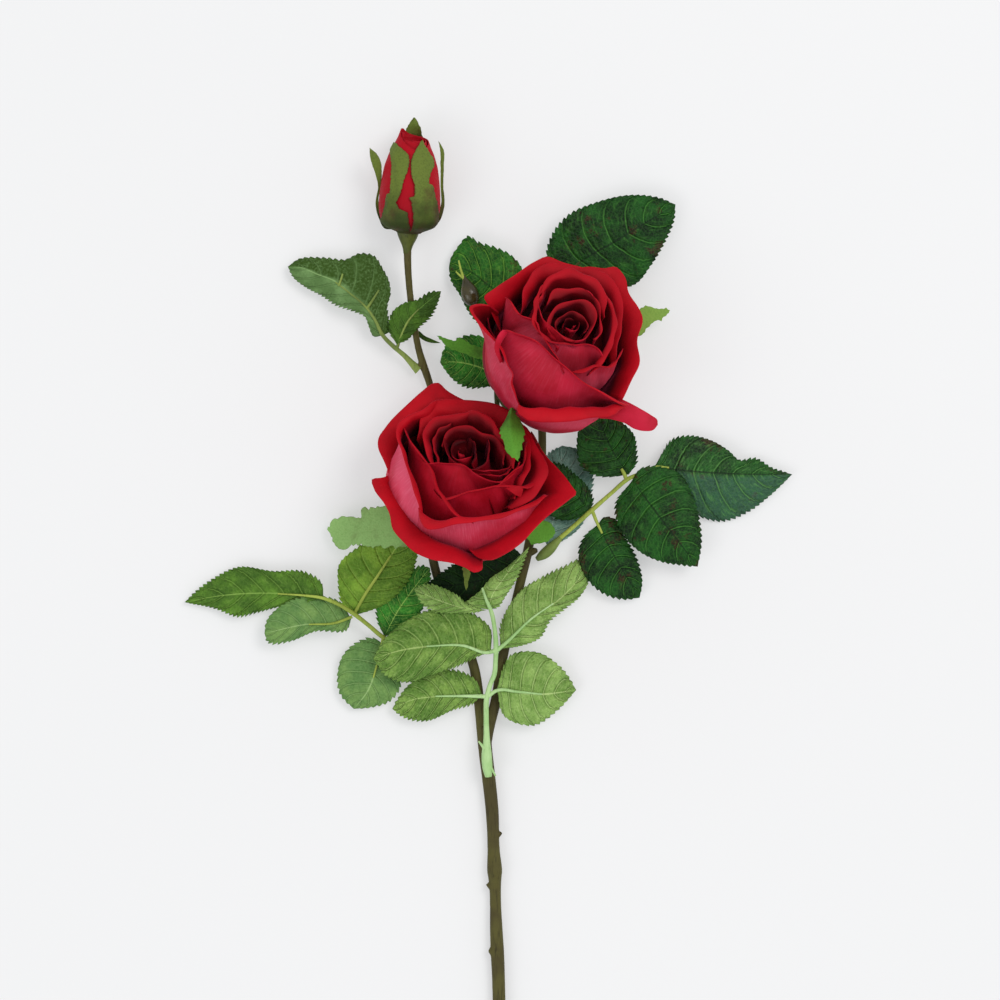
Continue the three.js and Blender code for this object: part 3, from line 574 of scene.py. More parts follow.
def leaf_blade(rib, left, right, cup=0.0, quilt=0.35, ripple=0.6, teeth=True, ragged=0.0, rows_per_tooth=4):
    """A leaf from its midrib (x, y, z) and the outlines (x, y) of its two sides, all from base
    to tip. cup lifts the margins, quilt swells the cloth between two veins, ragged is how deep
    a torn edge is cut."""
    rib = np.asarray(rib, float)
    ends = rib[0, :2], rib[-1, :2]
    length = np.linalg.norm(np.diff(rib[:, :2], axis=0), axis=1).sum()
    count = max(6, int(round(1.12 * length / TOOTH)))
    rows = rows_per_tooth * count + 1
    middle = along(rib, rows)
    v = np.linspace(0, 1, rows)
    # phase 0 to 1 along each tooth: it rises slowly and drops at its point
    phase = (np.arange(rows) % rows_per_tooth) / (rows_per_tooth - 1)
    saw = phase ** 0.8 * smoothstep(0.03, 0.15, v) * smoothstep(1.0, 0.93, v)
    grid = np.zeros((rows, len(COLUMNS), 3))
    seed = rng.uniform(0, 6.28, 6)
    for sign, outline in ((-1, left), (1, right)):
        edge = along(np.vstack([ends[0], outline, ends[1]]), rows)
        out = unit(edge - middle[:, :2] + 1e-6)
        forward = unit(np.gradient(edge, axis=0))
        if teeth:
            size = TOOTH_DEPTH * (0.8 + 0.4 * np.sin(9.1 * v + seed[0] + sign))
            edge = edge + (out * (saw * size)[:, None]) + forward * (saw * size * 0.5)[:, None]
        if ragged:
            cut = np.interp(np.arange(rows), np.arange(0, rows + 3, 3), rng.uniform(-1, 0.6, len(range(0, rows + 3, 3))))
            edge = edge + out * (ragged * cut * smoothstep(0.1, 0.4, v) * smoothstep(1, 0.97, v))[:, None]
        width = np.linalg.norm(edge - middle[:, :2], axis=1)
        for j, c in enumerate(COLUMNS):
            if c * sign < 0 or (c == 0 and sign > 0):
                continue
            a = abs(c)
            flat = middle[:, :2] + (edge - middle[:, :2]) * a
            vein = v * VEIN_PAIRS - VEIN_SLOPE * a ** 1.15
            swell = quilt * np.abs(np.sin(np.pi * vein)) ** 0.8 * (1 - a ** 4) * smoothstep(0, 0.2, a)
            swell *= smoothstep(0, 4, width)
            wave = ripple * a ** 2 * (np.sin(11 * v + seed[1] + 2 * sign) + 0.6 * np.sin(23 * v + seed[2] * sign))
            height = middle[:, 2] + cup * a ** 1.6 * width / 10 + swell + wave * smoothstep(0, 6, width)
            grid[:, j, :2] = flat
            grid[:, j, 2] = np.maximum(height, 0.6)
    return under_eye(grid)


def facing_up(grid):
    """Turns the grid so that its front looks up."""
    normal = np.cross(np.gradient(grid, axis=1), np.gradient(grid, axis=0))
    return grid if normal[..., 2].mean() > 0 else grid[:, ::-1]


def leaf(name, node, slot, material, rib, left, right, **bend):
    grid = facing_up(leaf_blade(rib, left, right, **bend))
    return settle(shell_piece(name, [sheet_shell(grid, 0.45)], material), slot, node)


UP, DOWN = "leaf_top", "leaf_underside"

# bud sprig
leaf("bud_sprig_leaf_1", "bud_sprig_leaflet_1", DOWN, LEAF_UNDER_SPLIT,
     [(-53, 74, 8.5), (-56.5, 81.5, 9.5), (-60.5, 87, 10), (-67.5, 93, 10), (-74.5, 98.5, 9), (-82, 101.5, 7.5),
      (-89.5, 104.5, 6), (-95.5, 105, 4.5)],
     [(-50, 75.5), (-50.5, 81), (-51, 87), (-49.5, 92.5), (-50, 98), (-53, 104), (-57, 109.5), (-63.5, 110.5),
      (-70, 107.8), (-79.5, 108.6), (-91.5, 107.8)],
     [(-56.5, 73.5), (-59, 78.5), (-60.5, 82.5), (-66, 85.5), (-74, 88.5), (-79.5, 92), (-87.5, 96), (-92.5, 100)],
     cup=-2.5, ripple=0.9)
leaf("bud_sprig_leaf_2", "bud_sprig_leaflet_2", DOWN, LEAF_UNDER_OLIVE,
     [(-46.5, 70, 9), (-41, 81, 12.5), (-34, 88, 13.5), (-26.5, 94, 12.5)],
     [(-49.5, 76), (-47.8, 85), (-43, 88.5), (-36.5, 90), (-31.5, 93)],
     [(-41.5, 72.5), (-37.5, 77), (-31.5, 83), (-28, 89.5)], cup=-2)
leaf("bud_sprig_leaf_3", "bud_sprig_leaflet_3", DOWN, LEAF_UNDER_OLIVE,
     [(-37.5, 76.8, 4), (-35, 73.6, 3), (-32, 71.8, 2.4), (-26.5, 70.6, 1.8)],
     [(-36, 75.8), (-34, 74), (-31, 72.6)], [(-37, 74.2), (-34.6, 72), (-31.4, 70.8)], quilt=0.1, ripple=0.1, teeth=False)

# top sprig
leaf("top_sprig_leaf_1", "top_sprig_leaflet_1", UP, LEAF_VIVID,
     [(9, 87, 5), (-3, 95, 5.5), (-16.5, 104, 5), (-23, 104.5, 4)],
     [(10, 96), (9.5, 104.5), (4.5, 110), (-2, 113), (-10, 115.5), (-14, 118.2), (-19, 113.5), (-22.3, 108)],
     [(0, 80), (-9, 80), (-14, 85), (-18, 92.5), (-21.8, 99)], cup=0.5)
leaf("top_sprig_leaf_2", "top_sprig_leaflet_2", UP, LEAF_TOP,
     [(30, 102, 6), (36, 107, 6.8), (52, 116.5, 7.5), (66, 125, 7.5), (79, 133, 6.5)],
     [(22.5, 104), (21.3, 110), (24, 119), (31.5, 128), (43, 133.5), (58.5, 137), (70, 136)],
     [(40, 97), (49.5, 95.5), (61, 97.5), (67.5, 105.5), (74, 117), (77.8, 126)], cup=1.2)
leaf("top_sprig_leaf_3", "top_sprig_leaflet_3", UP, LEAF_BRIGHT,
     [(-1, 56, 4.6), (-10, 60, 5.5), (-19, 62, 5.5), (-27, 62, 4.6)],
     [(-2.5, 67), (-7.5, 73), (-13.5, 73.8), (-20, 71.5), (-24.8, 68)],
     [(-3, 52), (-8, 51), (-15.5, 51.5), (-21, 54.5)], cup=0.6)

# right sprig
leaf("right_sprig_leaf_1", "right_sprig_leaflet_1", UP, LEAF_SHEEN,
     [(69.5, 15, 9.6), (86, 13, 8.5), (103.5, 12, 6.5), (131.5, 11.5, 3.5)],
     [(73.5, 21.5), (77.5, 26.5), (86, 28.5), (94.5, 26.8), (103.5, 21.5), (107.5, 17.8), (115, 18.2), (122.5, 14)],
     [(72, 6), (79, -2), (89.5, -7), (99, -9), (112, -4.5), (120.5, 1.5)], cup=-2.0, ripple=0.9)
leaf("right_sprig_leaf_2", "right_sprig_leaflet_2", UP, LEAF_TOP,
     [(59.5, 9, 11.5), (65, 1.5, 13.5), (77.5, -15, 14), (89, -30, 9.8)],
     [(52.5, -2), (53, -9), (55.5, -15), (64, -23.8), (74, -27.8), (83, -29)],
     [(62.5, 13.4), (67.5, 14.8), (75, 14), (81.5, 11), (86, 3), (88.8, -7), (90.3, -19)], cup=-1.5)
leaf("right_sprig_leaf_3", "right_sprig_leaflet_3", UP, LEAF_TOP,
     [(58, 11.5, 9.5), (53.5, 17.5, 9.5), (47, 30, 8.5), (43.5, 39, 7)],
     [(53.5, 10.8), (43, 11.5), (37, 15.5), (35, 23), (35.5, 31), (39, 37)],
     [(60.8, 16), (61, 22), (60.2, 29), (55, 34.5), (49, 38)], cup=0.8)
leaf("right_sprig_leaf_4", "right_sprig_leaflet_4", UP, LEAF_TOP,
     [(44, -11, 8.2), (52, -26, 7.5), (62.8, -44, 4)],
     [(39.5, -15), (35.8, -22.5), (38.5, -34), (47.5, -42), (56, -44.3)],
     [(46.5, -8), (52, -9), (55.5, -16), (60.8, -26), (63.8, -37)], cup=-0.8)
leaf("right_sprig_leaf_5", "right_sprig_leaflet_5", UP, LEAF_TOP,
     [(40.5, -5.5, 8.6), (34.5, 2.5, 8.6), (28, 10, 8), (21.5, 17, 7.5)],
     [(41.5, -1), (38.4, 7), (33, 11.8), (28, 15.5)],
     [(34.5, -8.3), (25.5, -8.2), (20, 0), (18, 9)], cup=-0.6)

# leaves on the branch
leaf("branch_leaf_blue", "branch_leaf_1", UP, LEAF_BLUE_PAINTED_SHEEN,
     [(21.5, -21, 2.6), (24, -8, 3), (26.5, 8, 3.2), (28, 24.5, 3)],
     [(18.5, -15), (17.5, -5), (18, 5), (21.5, 20)],
     [(28.5, -18), (36, -12), (40.5, 3), (41.3, 11.5), (36.5, 22)], cup=0.4)
leaf("branch_leaf_dark", "branch_leaf_2", UP, LEAF_PAINTED_SHADE,
     [(10.5, -25.5, 6), (2, -32, 7.5), (-15, -37.5, 9), (-34.5, -39, 8.8)],
     [(6, -22), (0, -24), (-14, -26), (-26, -33)],
     [(8, -33), (2, -41), (-6, -45.5), (-20, -46.5), (-30, -43.5)], cup=-0.8)

# front sprig
leaf("front_sprig_leaf_1", "front_sprig_leaflet_1", DOWN, LEAF_UNDER,
     [(-1.5, -85.5, 9.6), (18.5, -87.5, 9), (34.3, -85.5, 4.5)],
     [(0, -80.5), (5.5, -70), (17, -68.8), (27, -75.5)],
     [(2.5, -97.5), (14.5, -101), (26, -94)], cup=-1.2, quilt=0.7)
leaf("front_sprig_leaf_2", "front_sprig_leaflet_2", DOWN, LEAF_UNDER_MIX,
     [(-8, -88, 8.6), (-29, -88.5, 8.5), (-39, -89.8, 7), (-48.5, -94, 4.5)],
     [(-10.5, -82), (-15, -78.8), (-29.5, -77.5), (-40.5, -83)],
     [(-11.5, -90.7), (-20, -93.7), (-33, -99), (-43, -97.3)], cup=-1.0, quilt=0.8)
leaf("front_sprig_leaf_3", "front_sprig_leaflet_3", DOWN, LEAF_UNDER_MIX,
     [(-4, -68.5, 12.6), (-16.5, -65.5, 14.5), (-33, -66, 15), (-44, -67.5, 14), (-57, -71.5, 11)],
     [(-4.5, -58), (-11.5, -52), (-29.5, -49.5), (-43, -55), (-52, -63)],
     [(-11.5, -70.7), (-20, -74.7), (-33, -79.2), (-41, -81.7), (-50.5, -79)], cup=-1.2, quilt=1.1)
leaf("front_sprig_leaf_4", "front_sprig_leaflet_4", DOWN, LEAF_UNDER,
     [(0, -67, 12), (14, -53.5, 12), (26.5, -45, 8.5), (33.5, -38, 6), (39, -31, 4)],
     [(0.5, -57), (3.5, -49), (10, -40.5), (19.5, -35), (29, -30.5), (37, -27.3)],
     [(7, -66), (18, -61.5), (22.3, -53.8), (29, -48.5), (35.5, -43.5), (39.7, -36)], cup=-1.4, quilt=0.8)
leaf("front_sprig_leaf_5", "front_sprig_leaflet_5", DOWN, LEAF_UNDER,
     [(-5.5, -49.3, 16), (-3, -42, 17.5), (1.5, -35.5, 17.5), (6, -29.5, 17.4), (13.2, -21, 17)],
     [(-15.5, -47), (-8.5, -40.5), (-4, -35), (2, -31), (9, -25)],
     [(-2, -48.5), (2.5, -43), (7, -35.5), (10.5, -27)], cup=-2.5)
leaf("front_sprig_leaf_6", "front_sprig_leaflet_6", DOWN, LEAF_UNDER,
     [(-6, -49.6, 15.5), (-15.5, -48.8, 15.5), (-28, -45, 15.5), (-38.8, -40, 15)],
     [(-15.5, -46.8), (-19, -43.5), (-25, -40), (-31, -38.3)],
     [(-15.5, -50.7), (-29.5, -49.5), (-34, -47)], cup=-1.5)

# left sprig
leaf("left_sprig_leaf_1", "left_sprig_leaflet_1", DOWN, LEAF_UNDER_DEEP,
     [(-79.5, -44, 11), (-88, -43, 9), (-102, -42, 6.5), (-125, -43, 4.5), (-142, -46, 3)],
     [(-80, -38.5), (-88, -33), (-102, -32.3), (-117.5, -30.5), (-130.5, -37)],
     [(-90, -46.3), (-99, -47.8), (-110, -50.3), (-117.5, -51.8), (-128, -48.5)], cup=-1.0)
leaf("left_sprig_leaf_2", "left_sprig_leaflet_2", DOWN, LEAF_UNDER_BLUE,
     [(-67, -53.5, 8), (-74, -55.5, 9.5), (-86.5, -56, 10), (-106, -60, 7.8)],
     [(-71, -47), (-85, -44), (-98, -47.5), (-104.5, -54)],
     [(-68, -56.7), (-83, -58.8), (-94.5, -63.2), (-104.5, -63)], cup=-1.0)
leaf("left_sprig_leaf_3", "left_sprig_leaflet_3", DOWN, LEAF_UNDER_GRASS,
     [(-66, -52, 8.5), (-61, -43, 9.5), (-55, -34, 9.6), (-49, -25, 9), (-42, -13, 8.5)],
     [(-70.5, -47), (-72.5, -38), (-72.5, -30), (-61.5, -20), (-50, -12)],
     [(-61, -50.5), (-53, -47.3), (-45, -40.5), (-38, -27), (-37, -18)], cup=-0.8)
leaf("left_sprig_leaf_4", "left_sprig_leaflet_4", DOWN, LEAF_UNDER_BLUE,
     [(-52.5, -65, 6), (-56, -77, 6), (-59.5, -86, 5), (-65.8, -94, 3.6)],
     [(-55.5, -62.8), (-64, -64.5), (-71, -71), (-72.8, -78), (-71.5, -87)],
     [(-49, -70), (-46.5, -76), (-45, -83), (-50, -90), (-58, -93)], cup=-0.8)
leaf("left_sprig_leaf_5", "left_sprig_leaflet_5", UP, LEAF_BRIGHT,
     [(-52, -61.5, 5.6), (-46, -50, 6.2), (-39, -40, 6.6), (-31.5, -30.5, 6)],
     [(-54.5, -55.5), (-55, -48.5), (-48, -38), (-40, -32), (-34.5, -30)],
     [(-46.5, -59.5), (-39, -54.5), (-34, -46.5), (-31.8, -37)], cup=0.4)


# ---- Sprig stalks and moulded ribs --------------------------------------------------------
settle(stalks("bud_sprig_stalk", [
    [(-36.5, 58.5, 5, 4.6), (-38.2, 60, 5.2, 3.6), (-43, 65, 6.4, 2.3), (-48.5, 69.6, 7.6, 2.0), (-52.7, 74, 8.8, 1.8),
     (-56.5, 81.5, 9.8, 1.3), (-60.5, 87, 10.2, 1.0), (-67.5, 93, 10.2, 0.7), (-74, 98, 9.4, 0.5)],
    [(-46.5, 68, 7.4, 1.6), (-44, 75, 10.4, 1.1), (-41, 81, 12.8, 0.9), (-36.5, 86, 13.8, 0.5)],
    [(-72.5, 96.5, 9.4, 1.3), (-71.6, 99, 10.4, 1.0), (-70.8, 101.8, 10.4, 0.8)],
    [(-60, 86, 10, 1.3), (-57, 90.5, 10.8, 1.0), (-54.5, 94.5, 10.6, 0.7)],
], GREEN_COLLAR), "leaf_stalk", "bud_sprig_rachis")
settle(stalks("top_sprig_stalk", [
    [(10.5, -10, 2.6, 4), (5, 12, 2.4, 2.3), (-1, 40, 3.4, 2.3), (-1.6, 52, 3.4, 2.3), (1, 72, 3.6, 2.2),
     (8, 88, 4, 2.2), (22, 97, 4.5, 2.2), (36, 107, 6.6, 1.4)],
    [(-1, 46.5, 4.4, 1.6), (1.5, 43, 5.6, 1.9), (3.8, 39.5, 7, 2.2)],
], OLIVE_STALK), "stem_bark", "top_sprig_rachis")
settle(stalks("right_sprig_collar", [
    [(16.6, -26.6, 5.6, 2.2), (19.2, -24.8, 6.6, 4.4), (22.5, -22, 7.4, 4.8), (25.3, -19, 8, 3.4), (27.3, -17, 8.2, 2.3)],
], GREEN_COLLAR), "leaf_stalk", "right_sprig_rachis")
settle(stalks("right_sprig_stalk", [
    [(26, -18, 8, 2.2), (33, -12, 8.6, 2.0), (41.4, -4.5, 9.2, 2.1), (50, 3, 9.8, 1.8), (58.2, 9.8, 10.6, 1.9),
     (64, 12.2, 9.6, 1.6), (69.4, 14.6, 10.4, 1.7), (76, 14.5, 9.2, 1.0)],
    [(57, 9, 10.2, 1.8), (56, 11.5, 10.6, 1.8), (54.6, 14, 10.4, 1.2)],
    [(41.4, -4.5, 9, 1.7), (43.8, -10.5, 8.8, 1.4), (46, -15, 8.4, 0.9)],
], LIME_STALK), "leaf_stalk", "right_sprig_rachis")
settle(stalks("front_sprig_stalk", [
    [(-5.2, -124.5, 8, 3), (-5.6, -121, 8.4, 4.4), (-6, -115, 8.6, 4.6), (-6, -108, 8.6, 3.0), (-6.2, -98, 8.8, 2.3),
     (-5.9, -88.7, 9.8, 2.4), (-4, -82, 10.6, 2.1), (-2.7, -79, 11, 2.2), (-2, -72, 12.2, 2.1), (-1.8, -67, 13.2, 2.3),
     (-2.4, -58, 15, 1.9), (-4, -50, 16.6, 1.9), (-6.5, -44, 17.8, 1.3), (-8, -39.5, 18, 0.9)],
    [(-5.9, -88.7, 9.8, 2.1), (-1.5, -85.7, 10.4, 1.6), (8, -86.3, 10.4, 1.1), (19, -87.4, 9.8, 0.6)],
    [(-6, -88.4, 9.6, 2.1), (-14, -88.2, 9.6, 1.4), (-29, -88.3, 9.4, 0.7)],
    [(-1.8, -67.5, 13, 2.1), (-5, -68.6, 13.6, 1.7), (-16.5, -65.5, 15.2, 1.2), (-33, -65.8, 15.8, 0.6)],
    [(-1.8, -68, 13, 2.1), (3, -64, 13.4, 1.6), (14, -53.5, 13, 1.0), (24, -46.5, 10.4, 0.6)],
    [(-9.6, -108.6, 8.4, 0.7), (-7, -112, 9.6, 1.6), (-5.6, -117, 9.8, 1.6), (-2, -124.2, 9, 0.7)],
], MINT_STALK), "leaf_stalk", "front_sprig_rachis")
settle(stalks("left_sprig_stalk", [
    [(-22, -63, 4.5, 3), (-35, -66, 5, 2.2), (-44, -65.5, 5.8, 1.9), (-52.7, -61.7, 7, 2.0), (-59, -56.5, 8.8, 1.9),
     (-66.2, -50.9, 10.8, 2.0), (-72, -47.3, 11.4, 1.7), (-79.5, -44.2, 11.8, 1.5), (-88, -43, 9.8, 1.0),
     (-100, -42.2, 7.4, 0.6)],
    [(-66, -52, 9.6, 1.5), (-61, -43, 10.4, 1.4), (-55, -34, 10.5, 1.2), (-49.3, -25.3, 9.9, 0.9)],
    [(-52.5, -62, 7, 1.5), (-54.5, -71, 6.8, 1.1), (-57, -80, 6.4, 0.7)],
    [(-66.5, -52.5, 10, 1.4), (-74, -55.3, 10.3, 1.1), (-86, -56, 10.8, 0.6)],
], LIME_STALK), "leaf_stalk", "left_sprig_rachis")


# ---- Open blooms --------------------------------------------------------------------------
class Flower:
    """A bloom's seat and axis, with its petals placed as they are seen from above."""

    def __init__(self, seat, axis):
        self.seat = np.array(seat, float)
        self.axis = unit(np.array(axis, float))

    def seen(self, x, y, h):
        """The point seen from above at (x, y), at height h along the flower's axis."""
        core = self.seat + self.axis * h
        z = core[2]
        for _ in range(3):
            away = np.array([x, y]) * (1 - z / EYE) - core[:2]
            z = core[2] - away @ self.axis[:2] / self.axis[2]
        return np.array([*(core[:2] + away), z])

    def petal(self, rim, layer, lean=0.0, lip=3.0, curl=90.0, hold=0.4, belly=None, cols=48, wave=0.25,
              fold=0.35, deep=0.0, pink=0.0):
        """A petal from its rim, given as (x, y, h) from one side to the other. layer is 0 for
        the heart and 1 for the outermost. From its foot the petal swells to its belly and runs
        up to the lip, where it leans by lean degrees more than its own slope. The lip is lip mm
        long and turns out by curl degrees, and the rim runs at the share hold of the lip. deep
        keeps a petal of the heart further down in the painted shade of its cup, and pink is how
        strong the painted pink highlight on its back is."""
        line = along([self.seen(*p) for p in rim], cols)
        u = np.linspace(0, 1, cols)
        seed = rng.uniform(0, 6.28, 8)
        line = line + self.axis * (wave * np.sin(9 * u + seed[0]) + 0.6 * wave * np.sin(19 * u + seed[1]))[:, None]
        axis = self.axis
        rise = (line - self.seat) @ axis
        foot = self.seat + np.outer(rise, axis)
        out = unit(line - foot)
        line = line + out * (0.8 * wave * (np.sin(13 * u + seed[6]) + 0.6 * np.sin(29 * u + seed[7])))[:, None]
        radius = np.linalg.norm(line - foot, axis=1)

        def spread(value):
            return np.interp(u, np.linspace(0, 1, np.size(value)), np.atleast_1d(value).astype(float))

        waist = spread(8 + 21 * layer if belly is None else belly)
        waist_rise = 0.48 * rise
        slope = np.degrees(np.arctan2(radius - waist, rise - waist_rise))
        leans = np.radians(np.clip(1.25 * slope + spread(lean), -65, 85))
        lips = spread(lip) * (0.3 + 0.7 * np.clip(np.sin(np.pi * np.clip(u, 0.02, 0.98)) * 2.2, 0, 1))
        steps = 10
        turn = np.radians(curl) * (np.linspace(0, 1, steps + 1)[1:] - 0.5 / steps)
        angle = np.minimum(leans[None, :] + turn[:, None], np.radians(155))
        move = (np.cos(angle)[..., None] * axis + np.sin(angle)[..., None] * out[None]) * (lips / steps)[None, :, None]
        path = np.concatenate([np.zeros((1, cols, 3)), np.cumsum(move, axis=0)])
        at = hold * steps
        low, share = int(at), at - int(at)
        offset = path[low] * (1 - share) + path[min(low + 1, steps)] * share
        crest = line - offset
        direction = np.cos(leans)[:, None] * axis + np.sin(leans)[:, None] * out
        foot_point = self.seat + axis * (1 + 4 * (1 - layer)) + out * (2.5 + 3 * layer)
        middle = self.seat + np.outer(waist_rise, axis) + out * waist[:, None]
        span = np.linalg.norm(crest - middle, axis=1)[:, None]
        upward = unit(0.75 * axis + 0.25 * unit(crest - middle) + 0.2 * out)
        t = np.linspace(0, 1, 11)[:, None, None]
        a0, a1, a2, a3 = foot_point, foot_point + out * waist[:, None] * 0.75, middle - upward * span * 0.4, middle
        lower_part = (1 - t)**3 * a0 + 3 * t * (1 - t)**2 * a1 + 3 * t**2 * (1 - t) * a2 + t**3 * a3
        t = np.linspace(0, 1, 17)[1:, None, None]
        b1, b2 = middle + upward * span * 0.38, crest - direction * span * 0.38
        upper_part = (1 - t)**3 * middle + 3 * t * (1 - t)**2 * b1 + 3 * t**2 * (1 - t) * b2 + t**3 * crest
        grid = np.concatenate([lower_part, upper_part, crest + path[1:]])
        v = np.linspace(0, 1, len(grid))[:, None]
        crease = (np.sin(7 * u[None] + 3 * v + seed[2]) + 0.7 * np.sin(15 * u[None] - 5 * v + seed[3])
                  + 0.5 * np.sin(27 * u[None] + 9 * v + seed[4]) + 0.5 * np.sin(5 * u[None] + 14 * v + seed[5]))
        grid = grid + (fold * crease * smoothstep(0.15, 0.5, v))[..., None] * out[None]
        normal = np.cross(np.gradient(grid, axis=1), np.gradient(grid, axis=0))
        if (normal * -out[None]).sum(-1).mean() < 0:
            grid = grid[:, ::-1]
        points, faces, uv, back = sheet_shell(grid, 0.45, 0.5)
        uv[:, 1] *= 1 - deep
        return points, faces, uv, back * (1 + pink)


lower = Flower((-13, -8, 17), (-0.08, 0.545, 0.835))
upper = Flower((18, 55.5, 16), (0.265, 0.425, 0.866))


def core_shell(flower, profile):
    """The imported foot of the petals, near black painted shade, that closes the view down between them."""
    points, faces, uv, back = turned_shell(profile, flower.seat, flower.axis, sides=48)
    uv = np.stack([uv[:, 0], np.full(len(uv), 0.3)], -1)
    return points, faces, uv, back


def bloom_petal(name, nodes, shells, material=PETAL_VELVET):
    settle(shell_piece(name, shells, material), "petal", *nodes)


# Lower bloom, outermost petals first.
bloom_petal("lower_bloom_outer_left", ["lower_bloom_petal_6"], [
    lower.petal([(-12, 44, 30), (-18, 46.2, 33), (-24, 49.3, 35), (-28, 52.3, 36), (-29.4, 52, 36), (-34.5, 48.4, 36),
                 (-44.5, 40.5, 36), (-51.5, 33, 36),
                 (-54.7, 28, 36), (-55, 24.5, 36), (-53, 18, 35), (-51, 12, 33), (-48, 4, 28)],
                0.95, lip=7, curl=40, hold=1, belly=26)])
bloom_petal("lower_bloom_outer_front", ["lower_bloom_petal_5"], [
    lower.petal([(-46, 16, 28), (-50, 11, 32), (-54, 10, 35), (-57.5, 9.7, 36), (-56.5, 5, 37), (-52.5, -1, 37),
                 (-50, -7, 37), (-48.8, -12, 37), (-44, -18, 37), (-38, -24, 37), (-31.5, -26.7, 37), (-22, -28.3, 37),
                 (-16, -30.3, 37), (-11.5, -32.4, 37), (-8.7, -31.5, 36), (-8, -27, 33)],
                0.92, lip=[5, 9, 12, 12, 9, 4], curl=50, hold=1, belly=31, pink=0.2)])
bloom_petal("lower_bloom_outer_right", ["lower_bloom_petal_4"], [
    lower.petal([(-14, -22, 30), (-9, -26, 34), (-3, -27, 36), (2, -25, 37), (9.5, -20, 38), (16, -13, 38), (23, -5.5, 38),
                 (31, 0.8, 38), (34, 3, 38), (32.3, 6, 38), (29.5, 10, 37.5), (25, 15, 37), (21.5, 19, 36), (18, 24, 35), (14, 31, 33)],
                1.0, lip=9, curl=20, hold=1, belly=[29, 27, 27], lean=4)])
bloom_petal("lower_bloom_top", ["lower_bloom_petal_3"], [
    lower.petal([(-37.5, 27, 40), (-36, 32, 42), (-35.5, 36, 43), (-33, 40.5, 43), (-29, 44.7, 42), (-23.5, 45.3, 41),
                 (-17.5, 45.6, 40), (-9, 44.5, 40), (-2, 43.5, 40), (3.5, 40.5, 40), (9, 35.5, 40), (12.5, 30.5, 38)],
                0.7, lip=7, curl=55, hold=1)])
bloom_petal("lower_bloom_left", ["lower_bloom_petal_2"], [
    lower.petal([(-27, 45, 41), (-29.5, 44, 43), (-34, 39.5, 45), (-40, 37, 46), (-44, 33.5, 46), (-45, 27.5, 46),
                 (-43, 21.5, 46), (-40, 12.5, 46), (-36.5, 0.5, 45), (-35.5, -7.5, 42)],
                0.72, lean=-6, lip=4.5, curl=110, hold=0.6, belly=[30, 33, 35.5, 34, 30.5], pink=0.75)])
bloom_petal("lower_bloom_front", ["lower_bloom_petal_1"], [
    lower.petal([(-36.5, -3.6, 43), (-35.5, -5.4, 45), (-30, -8.7, 46), (-25, -9, 46), (-18, -7.3, 46.5),
                 (-13, -7, 46.5), (-3.5, -6.5, 46.5), (3, -5.5, 46), (9.5, -3.5, 45), (16, -0.6, 43), (20.5, 2.4, 40)],
                0.7, lean=-4, lip=[5, 8.5, 9, 6, 3.5, 3.5, 4], curl=130, hold=0.3, belly=[31, 32.5, 34, 33.5, 33], fold=0.5,
                pink=0.45)])
